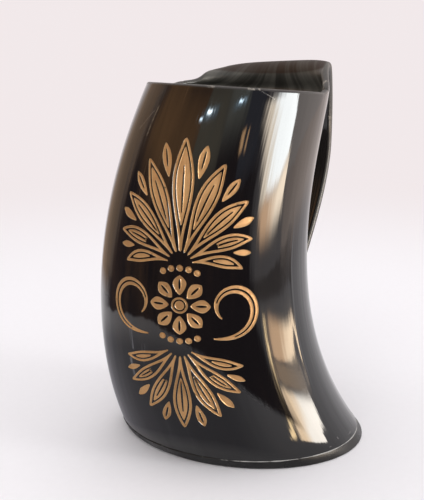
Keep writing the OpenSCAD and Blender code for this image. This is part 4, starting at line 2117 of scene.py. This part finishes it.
@dataclass
class StrapPins:
    """The two pins through the strap's end, with low domed heads."""

    form: HornForm
    strap: StrapForm
    radius: float = 0.0015
    pitch: float = 0.008
    cover: float = 0.0016
    proud: float = 0.0003
    point: float = 0.0004
    sides: int = 36
    sharp: float = 50.0
    head: tuple[Pair, ...] = (
        (1.0, 0.00028), (0.93, 0.00014), (0.75, 0.00005), (0.45, 0.00001))

    def pin(self, at: float) -> tuple[Array, list[Face]]:
        """One pin.

        Args:
            at: Where it stands between the two pins' places, from -0.5 to 0.5.

        Returns:
            Its points and faces.
        """
        middle = self.strap.lap_height - self.strap.lap_length / 2
        share = (middle + at * self.pitch) / self.form.rim_height
        depth = float(self.form.wall_at(share)) - self.cover
        length = self.strap.lap_glue + self.strap.thick + self.proud
        up = self.form.wall_up(0.0, share)
        out = unit(np.array([up[2], 0.0, -up[0]]))
        side = np.array([0.0, 1.0, 0.0])
        profile = [(0.7, -depth), (1.0, self.point - depth)]
        profile += [(size, length - below) for size, below in self.head]
        base = self.form.wall_point(0.0, share)
        turn = np.linspace(0, 2 * math.pi, self.sides, endpoint=False)[:, None]
        circle = np.cos(turn) * side + np.sin(turn) * np.cross(out, side)
        rings = [base + out * reach + self.radius * size * circle for size, reach in profile]
        return capped(rings, base - out * depth, base + out * length)

    def build(self) -> None:
        """Build and dress both pins."""
        (low, faces), (high, more) = self.pin(-0.5), self.pin(0.5)
        faces = faces + [tuple(len(low) + i for i in face) for face in more]
        piece = solid("pin_heads", np.vstack([low, high]), faces, self.sharp)
        dress(piece, PinHorn().material(), Slot.PIN, "strap_pins")


# --------------------------------------------------------------------- studio

LIFTED = 0.0008


@dataclass(frozen=True)
class Lamp:
    """A soft rectangular lamp that looks at the cup. Metres and degrees."""

    name: str
    heading: float
    elevation: float
    distance: float
    width: float
    height: float
    radiance: float
    colour: Colour
    aim: Triple = (-0.02, -0.01, 0.085)

    def place(self) -> None:
        """Set up the lamp. The polish mirrors the cards instead of it."""
        light = bpy.data.lights.new(self.name, "AREA")
        light.shape = "RECTANGLE"
        light.size, light.size_y = self.width, self.height
        light.color = self.colour
        light.energy = self.radiance * math.pi * self.width * self.height
        rise = math.radians(self.elevation)
        way = Vector((*(math.cos(rise) * ray(self.heading)), math.sin(rise)))
        lamp = linked(self.name, light)
        lamp.location = Vector(self.aim) + self.distance * way
        lamp.rotation_euler = way.to_track_quat("Z", "Y").to_euler()
        lamp.visible_glossy = False


def refined(grid: Array, count: int, axis: int) -> Array:
    """Spread points evenly between a grid's points.

    Args:
        grid: The grid.
        count: How many points it gets along the axis.
        axis: The axis.

    Returns:
        The finer grid.
    """
    known = np.arange(grid.shape[axis])
    wanted = np.linspace(0, known[-1], count)
    return np.apply_along_axis(lambda line: np.interp(wanted, known, line), axis, grid)


@dataclass(frozen=True)
class Card:
    """A reflector or a flag that only the polish mirrors: it isn't seen, and it lights nothing.

    It fades over its soft sides (left, right, low, high), which are shares of its
    size. Where its brightness differs at the right, change says from where to where
    along its width it changes.
    """

    name: str
    rows: Array
    radiance: Colour
    soft: Sides
    right: Colour | None = None
    change: Pair = (0.0, 1.0)
    share: float = 1.0
    steps: int = 40

    def cover(self) -> Array:
        """How much the card covers: all of it inside, fading over its soft sides.

        Returns:
            The share at each point.
        """
        u, v = np.meshgrid(np.linspace(0, 1, self.steps), np.linspace(0, 1, self.steps))
        cover = np.full_like(u, self.share)
        for share, soft in zip((u, 1 - u, v, 1 - v), self.soft):
            if soft > 0:
                cover = cover * smooth(share / soft)
        return cover

    def material(self) -> bpy.types.Material:
        """Write the card's glow, which is clear where the card fades.

        Returns:
            The material.
        """
        t = ShaderTree(self.name)
        right = self.right or self.radiance
        strength = max(*self.radiance, *right)
        ends = (tuple(c / strength for c in colour) for colour in (self.radiance, right))
        colour = t.mixed(*ends, t.share("across").ramped(*self.change))
        glow = t.value("ShaderNodeEmission", {}, {"Color": colour, "Strength": strength})
        return t.blended(t.share("cover"), t.value("ShaderNodeBsdfTransparent", {}, {}), glow)

    def place(self) -> None:
        """Set up the card."""
        n = self.steps
        points = refined(refined(self.rows, n, 1), n, 0).reshape(-1, 3)
        faces = [(r * n + c, r * n + c + 1, (r + 1) * n + c + 1, (r + 1) * n + c)
                 for r in range(n - 1) for c in range(n - 1)]
        mesh = bpy.data.meshes.new(self.name)
        mesh.from_pydata(points.tolist(), [], faces)
        write(mesh, "cover", self.cover().ravel())
        write(mesh, "across", np.tile(np.linspace(0, 1, n), n))
        mesh.materials.append(self.material())
        card = linked(self.name, mesh)
        for kind in ("camera", "diffuse", "transmission", "volume_scatter", "shadow"):
            setattr(card, "visible_" + kind, False)


def ring_rows(headings: Any, *levels: tuple[Any, float]) -> Array:
    """Rows of points round the cup, each row at its own distance and height."""
    across, along = ray(np.array(headings, float)).T
    return np.stack([stacked(reach * across, reach * along, height) for reach, height in levels])


def upright(low: Triple, high: Triple,
            reach: float) -> Array:
    """An upright card's rows, round the cup.

    Args:
        low: Its lower edge: from which heading to which, and how high as seen from
            the cup's middle.
        high: Its upper edge, likewise.
        reach: Its distance.

    Returns:
        The rows.
    """
    middle, count = 0.085, 12
    return np.concatenate([
        ring_rows(np.linspace(start, end, count),
                  (reach, middle + reach * math.tan(math.radians(rise))))
        for start, end, rise in (low, high)])


def level(*edges: Any) -> Array:
    """A card's rows just above the ground, from each row's left and right end."""
    return np.array([[(*end, LIFTED) for end in row] for row in edges])


@dataclass(frozen=True)
class Studio:
    """The ground, the lamps, the cards, the surroundings and the camera."""

    ground_radii: tuple[float, ...] = (3.2, 1.0, 0.4, 0.15)
    ground_sides: int = 96
    camera_place: Triple = (-0.33054, -0.17960, 0.18186)
    lens: float = 64.96
    sensor: float = 36.0
    clip: Pair = (0.01, 50.0)
    forward: Triple = (0.82978633, 0.49347849, -0.26064079)
    roll: float = 0.009
    surround: Colour = (0.885, 0.815, 0.825)
    ambient: Colour = (0.64, 0.625, 0.63)

    def lamps(self) -> list[Lamp]:
        """The lamps: a tall window, a ceiling and a wide soft lamp in front.

        Returns:
            The lamps.
        """
        return [
            Lamp("window_light", -79, 12, 1.5, 0.35, 0.60, 12.0, (0.97, 0.99, 1.0)),
            Lamp("ceiling", 60, 82, 1.5, 1.6, 1.6, 1.05, (1.0, 0.985, 0.99)),
            Lamp("front", 195, 50, 1.8, 1.0, 0.8, 2.2, (1.0, 0.98, 0.96)),
        ]

    def room(self) -> list[Card]:
        """The dark room in front, the wall at the left, and the ground.

        Returns:
            The cards.
        """
        headings = (84, 96, 104, 112, 119, 126, 133, 140, 150, 160, 180, 200, 215, 230, 245, 262)
        foot = np.array((0.212, 0.208, 0.218, 0.206, 0.222, 0.210, 0.224, 0.212,
                         0.220, 0.210, 0.180, 0.150, 0.125, 0.105, 0.095, 0.090))
        front = ring_rows(headings, (foot, LIFTED), (foot + 0.03, 3 * LIFTED), (0.9, 0.06),
                          (2.2, 0.7), (2.6, 2.4), (1.4, 3.4))
        left = ring_rows((56, 69, 82, 95, 110), (0.25, LIFTED), (0.7, 0.05), (1.3, 0.6), (1.2, 1.9))
        right = ring_rows(range(294, 385, 15), (0.40, LIFTED), (0.9, LIFTED), (1.58, LIFTED))
        shade = ring_rows(range(60, 245, 12), (0.05, LIFTED), (0.11, LIFTED), (0.20, LIFTED))
        gap = ring_rows((250, 264, 278, 298, 318), (0.385, LIFTED), (0.58, LIFTED))
        return [
            Card("dark_flag", front, (0.13, 0.10, 0.11), (0.16, 0.03, 0.07, 0.1), steps=80),
            Card("left_wall", left, (0.66, 0.47, 0.34), (0.3, 0.3, 0.05, 0.3)),
            Card("right_floor", right, (1.75, 1.45, 1.30), (0.05, 0.3, 0.2, 0.0),
                 (1.2, 1.05, 1.0), (0.2, 0.7)),
            Card("foot_shade", shade, (0.16, 0.15, 0.19), (0.2, 0.2, 0.05, 0.4), share=0.6),
            Card("table_gap", gap, (0.40, 0.34, 0.32), (0.1, 0.2, 0.2, 0.2), share=0.9),
        ]

    def flags(self) -> list[Card]:
        """The things that stand in the dark room, with a lit door.

        Returns:
            The cards.
        """
        return [
            Card("brown_flag", upright((98, 184, 10), (98, 184, 58), 1.5),
                 (0.95, 0.52, 0.25), (0.25, 0.06, 0.25, 0.7)),
            Card("olive_flag", upright((179, 216, 6), (179, 216, 62), 1.45),
                 (0.70, 0.64, 0.50), (0.12, 0.2, 0.25, 0.6)),
            Card("grey_flag", upright((206, 240, 18), (206, 240, 60), 1.48),
                 (0.85, 0.85, 0.75), (0.3, 0.1, 0.3, 0.5)),
            Card("blue_flag", upright((235, 257, 6), (235, 257, 46), 1.43),
                 (0.30, 0.31, 0.38), (0.15, 0.1, 0.2, 0.2)),
            Card("lit_door", upright((235, 241, 17.5), (235, 241, 26), 1.42),
                 (6.5, 3.9, 2.0), (0.3, 0.3, 0.3, 0.3)),
        ]

    def window(self) -> list[Card]:
        """The window, its sill and the wall at the right.

        Returns:
            The cards.
        """
        return [
            Card("window", upright((-96, -66, -1), (-110, -65, 28), 1.4),
                 (13.0, 11.2, 9.0), (0.24, 0.05, 0.08, 0.35), (18.5, 19.0, 19.0), (0.2, 0.5)),
            Card("sill", upright((-93, -65, -6), (-98, -64.5, 3.5), 0.8),
                 (9.5, 6.1, 3.7), (0.12, 0.05, 0.45, 0.4), (16.5, 13.8, 10.8), (0.25, 0.62)),
            Card("right_wall", upright((-67, 30, -3.1), (-67, 30, 32), 1.6),
                 (1.9, 1.7, 1.6), (0.0, 0.5, 0.0, 0.3), (1.25, 1.1, 1.05), (0.1, 0.5)),
        ]

    def small_lamps(self) -> list[Card]:
        """Three small cold lamps high up, two of them in a haze.

        Returns:
            The cards.
        """
        even = (0.5, 0.5, 0.5, 0.5)
        cold, cool, haze = (40.0, 46.0, 50.0), (30.0, 38.0, 44.0), (1.3, 1.9, 2.4)
        return [Card(name, upright((left, right, low), (left, right, high), reach), colour, even)
                for name, left, right, low, high, reach, colour in (
                    ("left_lamp", -175, -165.5, 39.4, 41.8, 1.38, cold),
                    ("left_haze", -186, -156, 36.8, 43.6, 1.40, haze),
                    ("small_lamp", -183.5, -178.5, 38.2, 39.7, 1.38, cool),
                    ("right_lamp", -137, -130.5, 36.4, 38.8, 1.38, cool),
                    ("right_haze", -142, -124, 33.5, 40.5, 1.40, haze))]

    def sunlight(self) -> list[Card]:
        """The sunlit patches on the ground.

        Returns:
            The cards.
        """
        beam = level(((-0.034, -0.062), (-0.029, -0.066)), ((-0.0345, -0.15), (-0.029, -0.15)),
                     ((-0.030, -0.25), (-0.023, -0.25)), ((-0.021, -0.345), (-0.012, -0.345)))
        near = level(((-0.027, -0.069), (0.004, -0.093)), ((-0.029, -0.085), (0.020, -0.121)),
                     ((-0.0285, -0.115), (0.064, -0.169)), ((-0.025, -0.160), (0.092, -0.192)))
        band = level(((-0.030, -0.155), (0.110, -0.195)), ((-0.027, -0.212), (0.140, -0.222)))
        far = level(((-0.026, -0.204), (0.098, -0.228)), ((-0.022, -0.250), (0.140, -0.246)),
                    ((-0.016, -0.300), (0.190, -0.243)), ((-0.005, -0.370), (0.222, -0.262)))
        return [
            Card("left_beam", beam, (17.0, 12.5, 7.0), (0.3, 0.3, 0.02, 0.1)),
            Card("near_patch", near, (14.0, 10.5, 7.0), (0.06, 0.12, 0.04, 0.15),
                 (17.0, 15.8, 14.2), (0.15, 0.45)),
            Card("dim_band", band, (3.6, 2.6, 1.8), (0.08, 0.12, 0.2, 0.2), (2.7, 2.3, 2.0)),
            Card("far_patch", far, (8.8, 5.8, 3.6), (0.12, 0.10, 0.08, 0.3),
                 (14.0, 10.8, 7.6), (0.3, 0.65)),
        ]

    def ground(self) -> None:
        """Lay the pale ground, in rings from the outside in."""
        n, rings = self.ground_sides, len(self.ground_radii)
        points = ring_rows(np.linspace(0, 360, n, endpoint=False),
                           *((radius, 0.0) for radius in self.ground_radii)).reshape(-1, 3)
        last, middle = (rings - 1) * n, rings * n
        faces = ring_faces(rings, n)
        faces += [(middle, last + i, last + (i + 1) % n) for i in range(n)]
        mesh = bpy.data.meshes.new("ground")
        mesh.from_pydata([*points.tolist(), (0.0, 0.0, 0.0)], [], faces)
        mesh.materials.append(Paper().material())
        linked("ground", mesh)

    def surroundings(self) -> None:
        """Set the world: the studio's pale colour where it is seen, and a plain soft light."""
        world = bpy.data.worlds.new("studio")
        bpy.context.scene.world = world
        t = ShaderTree("studio", world)
        plain, seen = (t.value("ShaderNodeBackground", {}, {"Color": colour})
                       for colour in (self.ambient, self.surround))
        t.blended(t.background_rays(), plain, seen)

    def camera(self) -> None:
        """Set up the camera at the photograph's viewing angle."""
        data = bpy.data.cameras.new("camera")
        data.lens, data.sensor_width = self.lens, self.sensor
        data.clip_start, data.clip_end = self.clip
        ahead = Vector(self.forward).normalized()
        right = ahead.cross(Vector((0, 0, 1))).normalized()
        turn = Matrix((right, right.cross(ahead), -ahead)).transposed().to_4x4()
        camera = linked("camera", data)
        camera.matrix_world = (Matrix.Translation(self.camera_place) @ turn
                               @ Matrix.Rotation(self.roll, 4, "Z"))
        bpy.context.scene.camera = camera

    def build(self) -> None:
        """Set up everything round the cup."""
        self.camera()
        self.ground()
        self.surroundings()
        for lamp in self.lamps():
            lamp.place()
        for cards in (self.room(), self.flags(), self.window(), self.small_lamps(),
                      self.sunlight()):
            for card in cards:
                card.place()
        bpy.context.scene.view_settings.view_transform = "Standard"


def main() -> None:
    """Build the cup and its studio, and log point and triangle counts."""
    logging.basicConfig(level=logging.INFO, format="%(name)s: %(message)s")
    Studio().build()
    form = HornForm()
    strap = StrapForm(form)
    sheet = Sheet(form)
    ornament = Ornament()
    wall = Engraver(sheet, ornament).cut()
    LOG.info("wall: %d points, %d triangles", len(wall.places), len(wall.triangles))
    horn = HornVessel(form, strap, wall, sheet).build()
    dress(horn, PolishedHorn(form).material(), Slot.HORN, "horn_body", "handle_strap")
    GiltWork(form, wall, sheet, ornament).build()
    BasePlate(form).build()
    StrapPins(form, strap).build()


if __name__ == "__main__":
    main()
